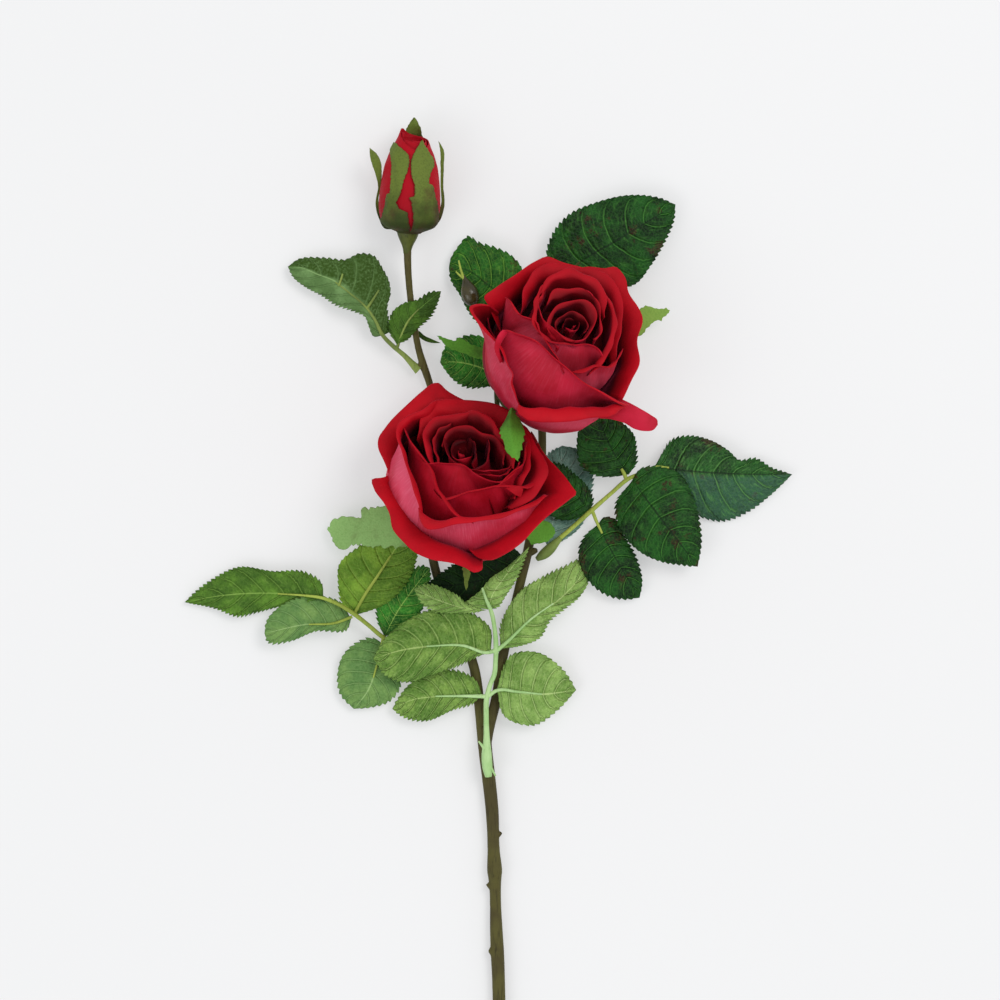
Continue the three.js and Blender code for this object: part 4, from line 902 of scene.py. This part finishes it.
bloom_petal("lower_bloom_inner", ["lower_bloom_heart"], [
    core_shell(lower, [(3, 1), (17, 5), (24, 14), (26, 24), (24, 31), (12, 34), (3, 35)]),
    # right crescents, from the outside in
    lower.petal([(6, 36, 42), (12, 32.5, 44), (16, 25, 45), (21, 17.5, 45), (22, 12.5, 45), (19, 6, 45), (15.5, 1, 45),
                 (9.5, -2.5, 44), (4, -4, 42)], 0.6, lip=7, curl=75, hold=1),
    lower.petal([(10, 31, 44), (12.5, 26, 46), (13.5, 19, 47), (12, 12, 47), (9, 6, 46), (6, 1, 45)],
                0.52, lip=3, curl=80, hold=0.8),
    lower.petal([(12, 26, 47), (11.5, 23, 48), (9.5, 16, 48.5), (5.5, 13, 48.5), (1.5, 9.5, 48.5), (-1.5, 6.5, 48.5),
                 (-6, 4, 47)], 0.42, lean=-8, lip=2, curl=100, hold=0.4, belly=25),
    # inner left, then the two middle petals in front
    lower.petal([(-43.5, 33, 43), (-41, 29, 47), (-35.5, 21, 48), (-32, 15.5, 48.5), (-26, 2.5, 48.5), (-18, -7, 47),
                 (-12, -10, 44)], 0.55, lip=3, curl=110, hold=0.45, belly=[30, 27, 26, 28, 28]),
    lower.petal([(-30, 5, 46), (-25, 1, 48), (-20.5, 2, 49), (-10.5, 5, 49), (-1, 7, 49), (5.5, 6.5, 48.5), (11, 6, 48),
                 (15, 8, 45)], 0.45, lip=[2.5, 3, 3, 4, 4.5], curl=110, hold=0.4, belly=24),
    lower.petal([(-36, 21, 46), (-32.5, 16, 48), (-27, 16.5, 49), (-20, 16, 49.5), (-16.5, 15.5, 49.5), (-10.5, 11.5, 49.5),
                 (-5, 9.5, 49.5), (-0.5, 9, 49), (5.5, 12, 48), (9, 17, 46)], 0.36, lip=2.5, curl=100, hold=0.4, belly=19),
    # whorls of the heart
    lower.petal([(-30, 13, 45), (-31.5, 18, 47), (-33.5, 24.5, 48), (-34, 32, 48), (-30.5, 35.5, 48), (-26, 37, 48),
                 (-16.5, 39.5, 48), (-12, 40.7, 47), (-8, 39, 45)], 0.4, lip=4.4, curl=85, hold=0.9, deep=0.06),
    lower.petal([(-17, 39, 46), (-13, 40.3, 48), (-7, 38, 48.5), (-3.5, 35.5, 48.5), (-0.5, 32, 48.5), (4.5, 27, 48.5),
                 (6.5, 20, 48), (6, 14, 46)], 0.36, lip=4.4, curl=85, hold=0.9, deep=0.1),
    lower.petal([(-27, 14, 45), (-28.5, 20, 46.5), (-29.5, 27, 47), (-27, 32, 47), (-22, 35, 47)],
                0.3, lip=2, curl=80, hold=0.8, deep=0.16),
    lower.petal([(-26, 24, 45), (-24, 29.5, 46.5), (-20.5, 32, 47), (-13.5, 33, 47), (-7, 30, 47), (-1, 27, 47),
                 (2, 21.5, 47), (1.5, 16, 46)], 0.25, lip=3, curl=85, hold=0.8, deep=0.18),
    lower.petal([(-14, 13, 46), (-8, 12, 48), (0.5, 11.3, 48), (5, 14, 46)], 0.28, lip=1.6, curl=90, hold=0.5, deep=0.16),
    lower.petal([(-14, 14.5, 46), (-11, 13.7, 47.5), (-3.5, 13.5, 47.5), (3, 14.3, 47), (6, 18, 45)],
                0.25, lip=1.6, curl=90, hold=0.5, deep=0.2),
    lower.petal([(-23.5, 30, 44), (-24.3, 27, 46), (-24, 23.5, 46.5), (-22.5, 19, 46.5), (-17, 15, 46.5), (-11, 13.7, 46.5),
                 (-7, 16, 46.5), (-5.5, 21.5, 46.5), (-6.5, 27, 46)], 0.16, lip=2.2, curl=80, hold=0.6, fold=0.5,
                belly=[9, 8, 7, 9, 11, 11], deep=0.3),
    lower.petal([(-14.5, 28.5, 42), (-12, 25.5, 44), (-11, 21.5, 44.5), (-12, 16.5, 44)],
                0.1, lip=1.8, curl=80, hold=0.6, belly=5, deep=0.36),
    lower.petal([(-13, 25.5, 38), (-16.5, 26.6, 41), (-20.3, 25, 42), (-21.8, 22, 42), (-20.5, 19, 42),
                 (-16.5, 17.7, 42), (-13, 19.5, 41), (-12.5, 22, 39)], 0.05, lip=1.8, curl=80, hold=0.6, fold=0.3, belly=4, deep=0.38),
    lower.petal([(-14.2, 21.5, 37), (-15.6, 23.6, 38.5), (-18.3, 22.8, 39), (-18.4, 20.4, 38.5), (-16, 19.6, 37.5)],
                0.0, lip=1.2, curl=70, hold=0.6, fold=0.2, belly=2, deep=0.42),
], PETAL_SHADED_DEEP)

# Upper bloom, outermost petals first.
bloom_petal("upper_bloom_outer_left", ["upper_bloom_petal_7"], [
    upper.petal([(0, 84, 34), (-5.5, 87.5, 38), (-13, 86.7, 40), (-8, 79, 41), (-0.5, 70, 41), (4.5, 60.5, 41),
                 (6.5, 57, 40), (5.8, 53.5, 39), (7.2, 48.5, 38), (9, 42.5, 36)],
                0.9, lean=-6, lip=2.6, curl=80, hold=0.5, belly=[28, 29.5, 31, 32, 33], pink=0.35)])
bloom_petal("upper_bloom_outer_top", ["upper_bloom_petal_6"], [
    upper.petal([(6, 66, 24), (1, 75, 28), (-2.5, 82, 32), (-5.5, 88, 35), (-7.3, 91, 37), (-2, 95.5, 38), (9, 102.5, 38), (16, 107, 38),
                 (21.5, 109.7, 38), (28, 107.7, 38), (38, 105, 37), (46, 101, 34)],
                0.9, lip=7, curl=40, hold=1),
    # a plain petal that lines the gap beside the outer left one, kept dark with painted shade
    upper.petal([(2, 97, 27), (-4, 91.5, 29), (-6, 86, 30), (-5.5, 80, 30), (-2.5, 73.5, 30), (1.5, 66, 30), (4, 60, 30)],
                0.9, lip=2, curl=20, hold=1, belly=30, deep=0.5)])
bloom_petal("upper_bloom_outer_right", ["upper_bloom_petal_5"], [
    upper.petal([(32, 103, 34), (38, 104.5, 37), (47, 104, 38), (52, 104.8, 38), (56, 100, 38), (57.5, 93.5, 38),
                 (62, 87, 38), (63.7, 83, 38), (62.7, 73, 38), (63.2, 61.5, 38), (59.8, 54.5, 37), (54.5, 45, 35)],
                0.9, lip=6, curl=40, hold=1)])
bloom_petal("upper_bloom_under", ["upper_bloom_petal_4"], [
    upper.petal([(8, 43, 30), (14, 39.5, 33), (24, 38, 34), (34, 37, 34), (44, 38.5, 34), (52, 43, 32)],
                1.0, lip=2, curl=30, hold=1, belly=[32, 34.5, 35.5, 35.5, 33], pink=0.35)])
bloom_petal("upper_bloom_front_lip", ["upper_bloom_petal_3"], [
    upper.petal([(8.4, 43, 37), (10, 41.9, 39), (13, 41.4, 39.8), (20, 41, 40), (28, 40.7, 40), (38, 41.7, 40), (47, 43, 40),
                 (52.5, 43.2, 39.4), (56, 42.4, 38)],
                0.9, lean=-8, lip=[7, 11, 10, 9.5, 6], curl=120, hold=0.25, belly=[31, 33.5, 34.5, 34, 32], fold=0.5)])
bloom_petal("upper_bloom_front", ["upper_bloom_petal_2"], [
    upper.petal([(1, 62, 38), (-1, 69, 42), (1.5, 74.5, 45), (3.5, 76.5, 46), (7.5, 75.2, 46), (16.5, 71.5, 47),
                 (28, 61, 47), (36, 54, 46), (47, 48, 44), (54.5, 44, 41), (58, 43, 37)],
                0.72, lip=[3, 4.5, 3, 3, 3], curl=110, hold=0.4, belly=[28, 30, 31, 31, 30], fold=0.25,
                pink=0.1)])
bloom_petal("upper_bloom_second", ["upper_bloom_petal_1"], [
    upper.petal([(9.5, 84, 42), (9.5, 90.5, 44), (11, 96.5, 44), (15.5, 103, 43), (20, 106, 42), (27, 106, 42),
                 (34, 105, 42), (40, 102, 40)], 0.7, lip=7, curl=60, hold=1),
    upper.petal([(33, 103, 42), (38, 104.2, 43), (47, 102, 43), (53, 96, 43.5), (55.5, 87, 44), (55, 76.5, 44),
                 (52.5, 68, 44), (51, 61, 42)], 0.7, lip=6.5, curl=60, hold=1)], PETAL_SHADED_DEEP)
bloom_petal("upper_bloom_inner", ["upper_bloom_heart"], [
    core_shell(upper, [(3, 1), (17, 5), (24, 14), (26, 24), (24, 31), (12, 34), (3, 35)]),
    upper.petal([(3, 91, 43), (5.5, 89, 46), (9, 83.5, 47), (15.5, 80.5, 47), (18.5, 76, 47.5), (23, 69, 47.5),
                 (26, 63.5, 47), (29, 58, 45)], 0.55, lean=-5, lip=2.6, curl=110, hold=0.4, belly=[25, 24, 23, 24], pink=0.3),
    upper.petal([(30, 57, 44), (34, 58.3, 46), (38, 58.7, 47), (43.5, 61, 47), (49, 61, 47), (53, 64, 46), (55, 68, 44)],
                0.55, lean=-5, lip=2.6, curl=110, hold=0.4, belly=25, pink=0.4),
    upper.petal([(46, 95, 45), (50, 88.5, 47), (51.8, 81.5, 48), (51.5, 75, 48), (49.3, 69, 48), (44, 61, 47),
                 (40, 57, 45)], 0.48, lean=-5, lip=3, curl=110, hold=0.7),
    upper.petal([(17, 75, 46), (21.5, 71.8, 48), (29.5, 70.7, 49), (40.5, 70, 49), (45, 67, 48), (47, 63, 46)],
                0.42, lip=2, curl=100, hold=0.4, belly=19, pink=0.3),
    upper.petal([(17, 93, 46), (20.5, 98, 47), (23, 100, 47), (27, 102.5, 47), (32, 104, 47), (36, 103.5, 47), (40.5, 101, 47),
                 (47, 95.5, 47), (48.3, 89, 47), (47, 82, 46)], 0.42, lip=4.6, curl=80, hold=1, wave=0.5, fold=0.6),
    upper.petal([(23, 99.5, 45), (18, 94.5, 47), (15, 87, 48), (15.5, 81.5, 48), (18.5, 76, 48), (23.5, 71.5, 47.5),
                 (27, 69, 46)], 0.4, lean=-5, lip=3, curl=90, hold=0.8, fold=0.6),
    upper.petal([(20, 95, 45), (18.5, 90, 47), (18.7, 85.5, 47.5), (21, 79, 48), (25.5, 76, 48), (28.5, 73, 48), (34, 71.5, 47)],
                0.32, lip=2, curl=90, hold=0.6, fold=0.5, deep=0.04),
    upper.petal([(21, 88, 45), (24, 92, 46.5), (30, 94.5, 47), (38, 93.5, 47), (44, 89, 47), (46.5, 83, 47), (46, 76, 47),
                 (42, 72, 46.5)], 0.3, lip=2.8, curl=85, hold=0.8, wave=0.5, fold=0.7, deep=0.12),
    upper.petal([(27, 72.5, 45), (23.5, 76, 47), (23, 80, 47), (25, 87, 47), (31, 89.2, 47), (38, 89, 47), (43, 83, 47),
                 (41, 76.5, 47), (37, 73, 46.5), (31, 72.3, 46)], 0.2, lip=2.6, curl=85, hold=0.7, wave=0.4, fold=0.6,
                belly=10, deep=0.14),
    upper.petal([(27, 75, 43), (25.5, 79, 45), (28, 83, 45), (32.5, 84, 45), (37.5, 81.5, 45), (39.5, 78.5, 44.5),
                 (37.5, 75.5, 44)], 0.1, lip=1.8, curl=80, hold=0.6, fold=0.3, belly=6, deep=0.22),
    upper.petal([(28.5, 77.5, 40), (29.5, 80.7, 41.5), (33, 81.5, 42), (35.6, 79.5, 42), (34.8, 76.8, 41.5), (31.5, 76, 41),
                 (29.5, 77, 40)], 0.03, lip=1.4, curl=80, hold=0.6, fold=0.2, belly=3.5, deep=0.26),
    upper.petal([(31, 80, 38), (32.5, 80.6, 39), (34, 79, 39.5), (32.8, 77.6, 39)], 0.0, lip=1, curl=70, hold=0.6,
                fold=0.1, belly=1.5, deep=0.3),
], PETAL_SHADED_DEEP)
# the folded corner of a middle petal
corner = facing_up(leaf_blade([(2.4, 5.4, 67.5), (6, 4.2, 69), (9.4, 1.2, 67)], [(5.5, 6), (9.6, 6), (10.4, 5), (10, 3)],
                              [(4.2, 4.2), (7, 2.2)], teeth=False, cup=-1, quilt=0, ripple=0, rows_per_tooth=5))
corner_shell = sheet_shell(corner, 0.45)
corner_shell[2][:, 1] = 0.9
bloom_petal("lower_bloom_folded_corner", ["lower_bloom_heart"], [corner_shell], PETAL_SHADED_DEEP)
# the outermost petal's tongue, bent out flat at the lower right
tongue = facing_up(leaf_blade(
    [(40, 43, 44), (47, 41, 48), (54, 39.5, 50), (62, 37, 50.5), (71, 33.8, 50)],
    [(47, 46.3), (53, 46), (58, 43.9), (63, 41.2), (68, 38.2), (70.8, 36)],
    [(43, 37.5), (50, 36.3), (56, 34.6), (60.5, 32), (65, 31), (69, 31.5)],
    teeth=False, cup=-1.8, quilt=0, ripple=0.3, rows_per_tooth=6))
tongue_shell = sheet_shell(tongue, 0.45)
# both faces take the back's colour with a faint painted pink highlight, set in the band of rise where it shows
tongue_shell[2][:, 1] = 0.5 + 0.1 * tongue_shell[2][:, 1]
tongue_shell[3][:] = 1.05
bloom_petal("upper_bloom_tongue", ["upper_bloom_petal_4"], [tongue_shell])


# ---- Hips and sepals ----------------------------------------------------------------------
def hip(name, node, flower):
    body = turned_shell([(2.3, -7.6), (3.4, -6.8), (5.6, -5), (6.6, -3), (6.7, -1), (5.5, 1), (3.5, 3)],
                        flower.seat, flower.axis)
    settle(mesh_piece(name, *body, CALYX_OLIVE), "sepal", node)


hip("lower_bloom_cup", "lower_bloom_hip", lower)
hip("upper_bloom_cup", "upper_bloom_hip", upper)


def sepal(name, node, material, rib, left, right, ragged=0.5, **bend):
    grid = facing_up(leaf_blade(rib, left, right, teeth=False, quilt=0.1, ragged=ragged, rows_per_tooth=6, **bend))
    settle(shell_piece(name, [sheet_shell(grid, 0.4)], material), "sepal", node)


sepal("lower_bloom_left_sepal", "lower_bloom_sepal_1", CALYX_PALE,
      [(-20, -6, 14), (-35, -9, 13), (-50, -12, 11), (-65, -13, 9), (-77.8, -13.2, 7)],
      [(-30, 0), (-45, -1.5), (-51.3, -2.4), (-57, -3.4), (-61.6, -3.9), (-62.3, -4.6), (-62.8, -7.6), (-63.6, -8),
       (-67.5, -7.8), (-75.2, -8.7), (-76.2, -9.4)],
      [(-30, -17), (-45, -21.5), (-55.4, -21.4), (-65.5, -20.6), (-71.6, -22.3), (-74, -22), (-74.8, -21),
       (-75.6, -16.6)], cup=-0.8, ragged=1.2)
sepal("lower_bloom_right_sepal", "lower_bloom_sepal_2", CALYX_GRASS,
      [(2, -10, 14), (10, -13, 13.5), (18, -15.5, 13), (25, -15, 13)],
      [(6, -4), (14, -7), (20, -9), (24, -12)],
      [(6, -15), (12.5, -17.5), (14, -20.3), (18, -19.5), (22, -18.5)], cup=-0.5)
sepal("lower_bloom_front_sepal", "lower_bloom_sepal_3", CALYX_OLIVE,
      [(-13.5, -14, 12.5), (-14.5, -26, 13.5), (-15.2, -34, 13.5), (-15, -41, 13)],
      [(-16, -16), (-17, -26), (-16.8, -34)], [(-11, -16), (-12.2, -26), (-13.6, -34)], cup=-0.5)
sepal("upper_bloom_left_sepal", "upper_bloom_sepal_1", CALYX_GRASS,
      [(10, 60, 13), (0, 64, 13.5), (-8, 66, 14), (-18, 69.5, 14.5), (-28.5, 74, 14.5)],
      [(5, 66), (-4, 69), (-8, 68.6), (-15, 71.5), (-18.5, 73.3), (-20, 71.8), (-24, 73)],
      [(5, 57), (-4, 61.5), (-8, 63), (-14, 65), (-18, 66.3), (-24, 69)], cup=-0.5, ripple=0.3)
sepal("upper_bloom_right_sepal", "upper_bloom_sepal_2", CALYX_LIME,
      [(40, 66, 14), (52, 73, 13.5), (61, 80.5, 12.5), (76.5, 85.3, 10)],
      [(42, 74), (55, 82), (62, 86), (66.5, 87.7), (70, 86.2), (75.5, 86.2)],
      [(48, 64), (58, 70), (64.5, 75.3), (67, 78), (70, 80), (73, 81)], cup=0.5, ripple=0.3, ragged=0.7)
sepal("upper_bloom_front_sepal", "upper_bloom_sepal_3", CALYX_GRASS,
      [(10, 50, 36), (7.4, 45, 44.5), (5.2, 40.5, 52), (4.8, 36, 58), (5.2, 29, 64.5), (6.2, 23, 67.5), (8.2, 17.3, 68)],
      [(8.2, 47), (5.6, 43.4), (3.8, 39.6), (2, 35.5), (0.4, 33), (-0.2, 30), (0.6, 27.6), (1.9, 25.6), (2.2, 23), (3.2, 20.6), (4.6, 19.4),
       (6, 18.6), (7.4, 17.8)],
      [(10, 46.4), (8, 42.4), (7.2, 38.6), (9, 36.6), (10.2, 34), (11, 31), (10.8, 26.5), (9.8, 22.5), (8.9, 19.5)], cup=-1.0, ripple=0.2, ragged=0.7)


# ---- Bud ----------------------------------------------------------------------------------
BUD_SEAT = np.array([-41, 120.5, 14.5])
BUD_AXIS = unit(np.array([0.04, 1, 0.05]))
BUD_RIGHT = unit(np.cross(BUD_AXIS, [0, 0, 1.0]))
BUD_UP = np.cross(BUD_RIGHT, BUD_AXIS)
# radius of the bud at each height above its seat
BUD_SHAPE = np.array([(0, 4.6), (2.2, 10.3), (5, 12.9), (9, 13.9), (12.5, 14.2), (18, 13.9), (24, 13.2), (29.5, 12.3),
                      (35, 10.5), (40, 8), (44, 6), (48, 4.4)])


def bud_point(azimuth, height, swell=0.0):
    """A point on the bud: azimuth is 0 on its upper side and positive to the right."""
    radius = np.interp(height, BUD_SHAPE[:, 0], BUD_SHAPE[:, 1]) + swell
    round_it = np.cos(azimuth)[..., None] * BUD_UP + np.sin(azimuth)[..., None] * BUD_RIGHT
    return under_eye(BUD_SEAT + height[..., None] * BUD_AXIS + radius[..., None] * round_it)


def bud_petal(start, stop, rim, swell, twist=0.0, rows=26, cols=40):
    """A petal wrapped on the bud between two azimuths in degrees; rim is its height across."""
    u = np.linspace(0, 1, cols)
    top = np.interp(u, np.linspace(0, 1, len(rim)), rim)
    v = np.linspace(0, 1, rows)[:, None]
    azimuth = np.radians(start + (stop - start) * u)[None] + np.radians(twist) * v
    height = 1.4 + (top - 1.4)[None] * v
    lift = swell * (1 - 0.4 * u[None]) + 0.6 * smoothstep(0.9, 1, v) - 0.5 * u[None] ** 3 - 0.5
    grid = bud_point(np.broadcast_to(azimuth, height.shape), height, np.broadcast_to(lift, height.shape))
    if np.cross(grid[1, 1] - grid[1, 0], grid[2, 0] - grid[1, 0]) @ (BUD_SEAT - grid[1, 0]) < 0:
        grid = grid[:, ::-1]
    points, faces, uv, back = sheet_shell(grid, 0.5, 0.6)
    uv[:, 1] = 0.72 + 0.28 * uv[:, 1]
    return points, faces, uv, back * 0.45


settle(shell_piece("bud_petals", [
    bud_petal(-175, 35, [44, 46.5, 46.5, 42, 38, 35.5], 0.0, 8),
    bud_petal(-25, 190, [34.5, 38, 41.5, 43, 43], -0.5, 8),
    bud_petal(120, 300, [42, 44, 45, 45], -0.9, 10),
    bud_petal(-80, 130, [42, 41, 40.5, 42, 42], -2.0, 30),
    bud_petal(60, 250, [42, 43.5, 43.5, 42], -2.6, 40),
    bud_petal(-60, 160, [41.5, 41, 42, 42], -3.4, 60),
    bud_petal(90, 300, [40, 42, 42, 40], -4.0, 60),
], PETAL_SHADED_DEEP), "petal", "bud_heart")
settle(mesh_piece("bud_cup", *turned_shell(
    [(1.7, -10.6), (1.9, -9), (2.5, -7), (3.7, -4.5), (4.7, -2), (4.9, 0), (4.6, 1), (2, 1.6)],
    BUD_SEAT, BUD_AXIS), OLIVE_STALK), "sepal", "bud_hip")


def bud_sepal(name, node, stations, swell=0.5, flare=0.0, middle=0.0, rows=72, cols=17):
    """A sepal lying on the bud. Each station is (height, left x, right x) as seen from above it,
    middle is the azimuth it is centred on, and flare bends its tip away."""
    table = np.array(stations, float)
    height = np.linspace(table[0, 0], table[-1, 0], rows)
    left = np.interp(height, table[:, 0], table[:, 1]) + rng.uniform(-0.22, 0.22, rows)
    right = np.interp(height, table[:, 0], table[:, 2]) + rng.uniform(-0.22, 0.22, rows)
    radius = np.interp(height, BUD_SHAPE[:, 0], BUD_SHAPE[:, 1]) + swell
    a0 = np.arcsin(np.clip(left / radius, -0.999, 0.999))
    a1 = np.arcsin(np.clip(right / radius, -0.999, 0.999))
    u = np.linspace(0, 1, cols)[None]
    azimuth = np.radians(middle) + a0[:, None] + (a1 - a0)[:, None] * u
    share = (height - height[0]) / (height[-1] - height[0])
    lift = (swell + flare * np.maximum(0, share - 0.35) ** 2)[:, None] + 0.35 * np.sin(np.pi * u) \
        + 0.2 * np.sin(9 * u + 14 * share[:, None])
    grid = bud_point(azimuth, np.broadcast_to(height[:, None], azimuth.shape), lift)
    normal = np.cross(grid[5, 6] - grid[5, 5], grid[6, 5] - grid[5, 5])
    if normal @ (grid[5, 5] - BUD_SEAT - BUD_AXIS * height[5]) < 0:
        grid = grid[:, ::-1]
    settle(shell_piece(name, [sheet_shell(grid, 0.4)], CALYX_OLIVE), "sepal", node)


bud_sepal("bud_sepal_front_left", "bud_sepal_1", [
    (-0.4, -5, 0.4), (0.4, -6.6, 0.4), (1.2, -8.8, 0.4), (2.3, -11.2, 0.6), (3.5, -12.4, 0.2), (5, -13.1, -0.2),
    (7, -12.6, -0.6), (9.5, -12, -0.7),
    (11, -11.8, -4.6), (14, -11.4, -6.3), (17, -11, -4.6), (18, -9.3, -4.3), (24, -9.1, -3.2), (28, -9.2, -1.8),
    (31.5, -9.4, -1), (34, -9.9, -1.1), (36, -10.2, -2.1), (37.5, -10, -4), (39, -9.3, -6.3), (40.3, -8.4, -7.6)])
bud_sepal("bud_sepal_front_right", "bud_sepal_2", [
    (-0.4, 0.2, 5), (0.4, 0.4, 6.6), (1.2, 0.7, 8.8), (2.3, 1.1, 11.2), (3.5, 1.5, 12.5), (5, 1.8, 13.3),
    (9.5, 1.6, 13.3), (14, 0.6, 12.3),
    (16.5, -0.6, 11.4), (17, 2.0, 11.2), (22, 1.8, 10.3), (23, 1.4, 8.2), (27, -0.1, 8.8), (31, -0.4, 10.3),
    (33, -0.3, 10.1), (36, 0.8, 8.3), (38, 1.8, 7), (40, 3, 5.6), (42, 4, 4.6)], swell=0.8)
bud_sepal("bud_sepal_back", "bud_sepal_5", [
    (0.2, -5, 5), (2.4, -10, 10), (6, -13.8, 13.8), (10, -13, 13), (14, -10, 10), (26, -8, 8), (38, -6, 6),
    (44, -3.8, 4.2), (46.5, -3.4, 3.2), (48.5, -2.2, 2.2), (50.3, -1.2, 1), (51.5, -0.3, 0.4)],
    middle=176, swell=0.8)
sepal("bud_sepal_left", "bud_sepal_3", CALYX_OLIVE,
      [(-49, 121.8, 12), (-53.5, 127, 12), (-55.3, 134, 13), (-54.2, 142, 15), (-55.2, 149, 17), (-58.7, 158.6, 19)],
      [(-51.5, 122), (-54.6, 127), (-56, 133), (-54.9, 141), (-55.9, 146), (-57.6, 151), (-58.6, 155)],
      [(-49, 124), (-52.8, 128), (-54.6, 134), (-53.5, 142), (-53.2, 148), (-53.6, 152), (-55.6, 156)],
      cup=-0.4, ripple=0, ragged=0.1)
sepal("bud_sepal_right", "bud_sepal_4", CALYX_OLIVE,
      [(-30, 123, 12), (-26, 131, 12), (-26.2, 142, 14), (-26, 151, 17), (-26.2, 157, 18), (-27.8, 161.8, 19)],
      [(-30.6, 125), (-26.8, 132), (-26.8, 142), (-26.8, 151), (-26.9, 157)],
      [(-28, 124.5), (-25.2, 131), (-25.5, 142), (-25.2, 151), (-25.3, 157.5)], cup=-0.3, ripple=0, ragged=0.1)

# ---- Small moulded parts on the top sprig -------------------------------------------------
settle(mesh_piece("top_sprig_hip", *turned_shell(
    [(0.4, 0), (1.8, 0.8), (3.4, 3), (3.9, 6), (3.3, 9), (2, 11.5), (0.9, 13.5), (0.4, 15)],
    (-11.5, 86.5, 8.6), (-0.32, 0.94, 0.06)), GLOSSY_OLIVE), "stem_bark", "top_sprig_rachis")
settle(stalks("top_sprig_tendrils", [
    [(-15.6, 98, 9.4, 1.6), (-17.3, 102.5, 9.6, 1.1), (-18.6, 107.8, 9.2, 0.7)],
    [(-16, 99.6, 9.5, 1.2), (-18, 101, 9.4, 1.0), (-19.8, 102.8, 9, 0.7)],
    [(-8, 85, 6, 1.6), (-10, 85.6, 8, 1.8), (-12, 87.5, 8.8, 2.4)],
], LIME_STALK), "leaf_stalk", "top_sprig_rachis")

# ---- Floor, light and camera --------------------------------------------------------------
floor_finish, floor_tree, floor_surface = finish_of("white studio board, matt, with a painted glow", 0.9, Specular_IOR_Level=0.1)
board = noise(floor_tree, add(floor_tree, "ShaderNodeTexCoord").outputs["Object"], 400, 2)
floor_tree.links.new(blend_colors(floor_tree, board, "aeaeae", "b1b1b1"), floor_surface.inputs["Base Color"])
# the board glows a little by itself, painted light that keeps its shadows faint
floor_surface.inputs["Emission Color"].default_value = hex_color("f8f8f8")
floor_surface.inputs["Emission Strength"].default_value = 0.44
floor_mesh = bpy.data.meshes.new("studio_floor")
floor_mesh.from_pydata([(-40, -40, -0.0003), (40, -40, -0.0003), (40, 40, -0.0003), (-40, 40, -0.0003)], [], [(0, 1, 2, 3)])
floor_mesh.materials.append(floor_finish)
studio_floor = bpy.data.objects.new("studio_floor", floor_mesh)
bpy.context.scene.collection.objects.link(studio_floor)

world = bpy.context.scene.world or bpy.data.worlds.new("studio")
bpy.context.scene.world = world
world.use_nodes = True
world.node_tree.nodes["Background"].inputs[0].default_value = (0.95, 0.97, 1.0, 1)
world.node_tree.nodes["Background"].inputs[1].default_value = 0.8
bpy.context.scene.view_settings.view_transform = "Standard"


def soft_lamp(name, at, target, size, power, color=(1, 1, 1)):
    lamp = bpy.data.lights.new(name, "AREA")
    lamp.shape = "DISK"
    lamp.size = size
    lamp.energy = power
    lamp.color = color
    holder = bpy.data.objects.new(name, lamp)
    bpy.context.scene.collection.objects.link(holder)
    holder.location = at
    direction = Vector(target) - Vector(at)
    holder.rotation_euler = direction.to_track_quat("-Z", "Y").to_euler()
    holder.visible_camera = False
    return holder


soft_lamp("key", (1.1, 0.8, 2.0), (0, 0, 0), 1.2, 20, (1, 0.98, 0.96))
soft_lamp("fill", (-1.4, -0.9, 1.6), (0, 0, 0), 1.2, 9)

camera_data = bpy.data.cameras.new("camera")
camera_data.sensor_width = 36
camera_data.lens = 128
camera_data.clip_end = 200
camera = bpy.data.objects.new("camera", camera_data)
bpy.context.scene.collection.objects.link(camera)
camera.location = place([0, 0, 1600])
bpy.context.scene.camera = camera

bpy.context.view_layer.update()
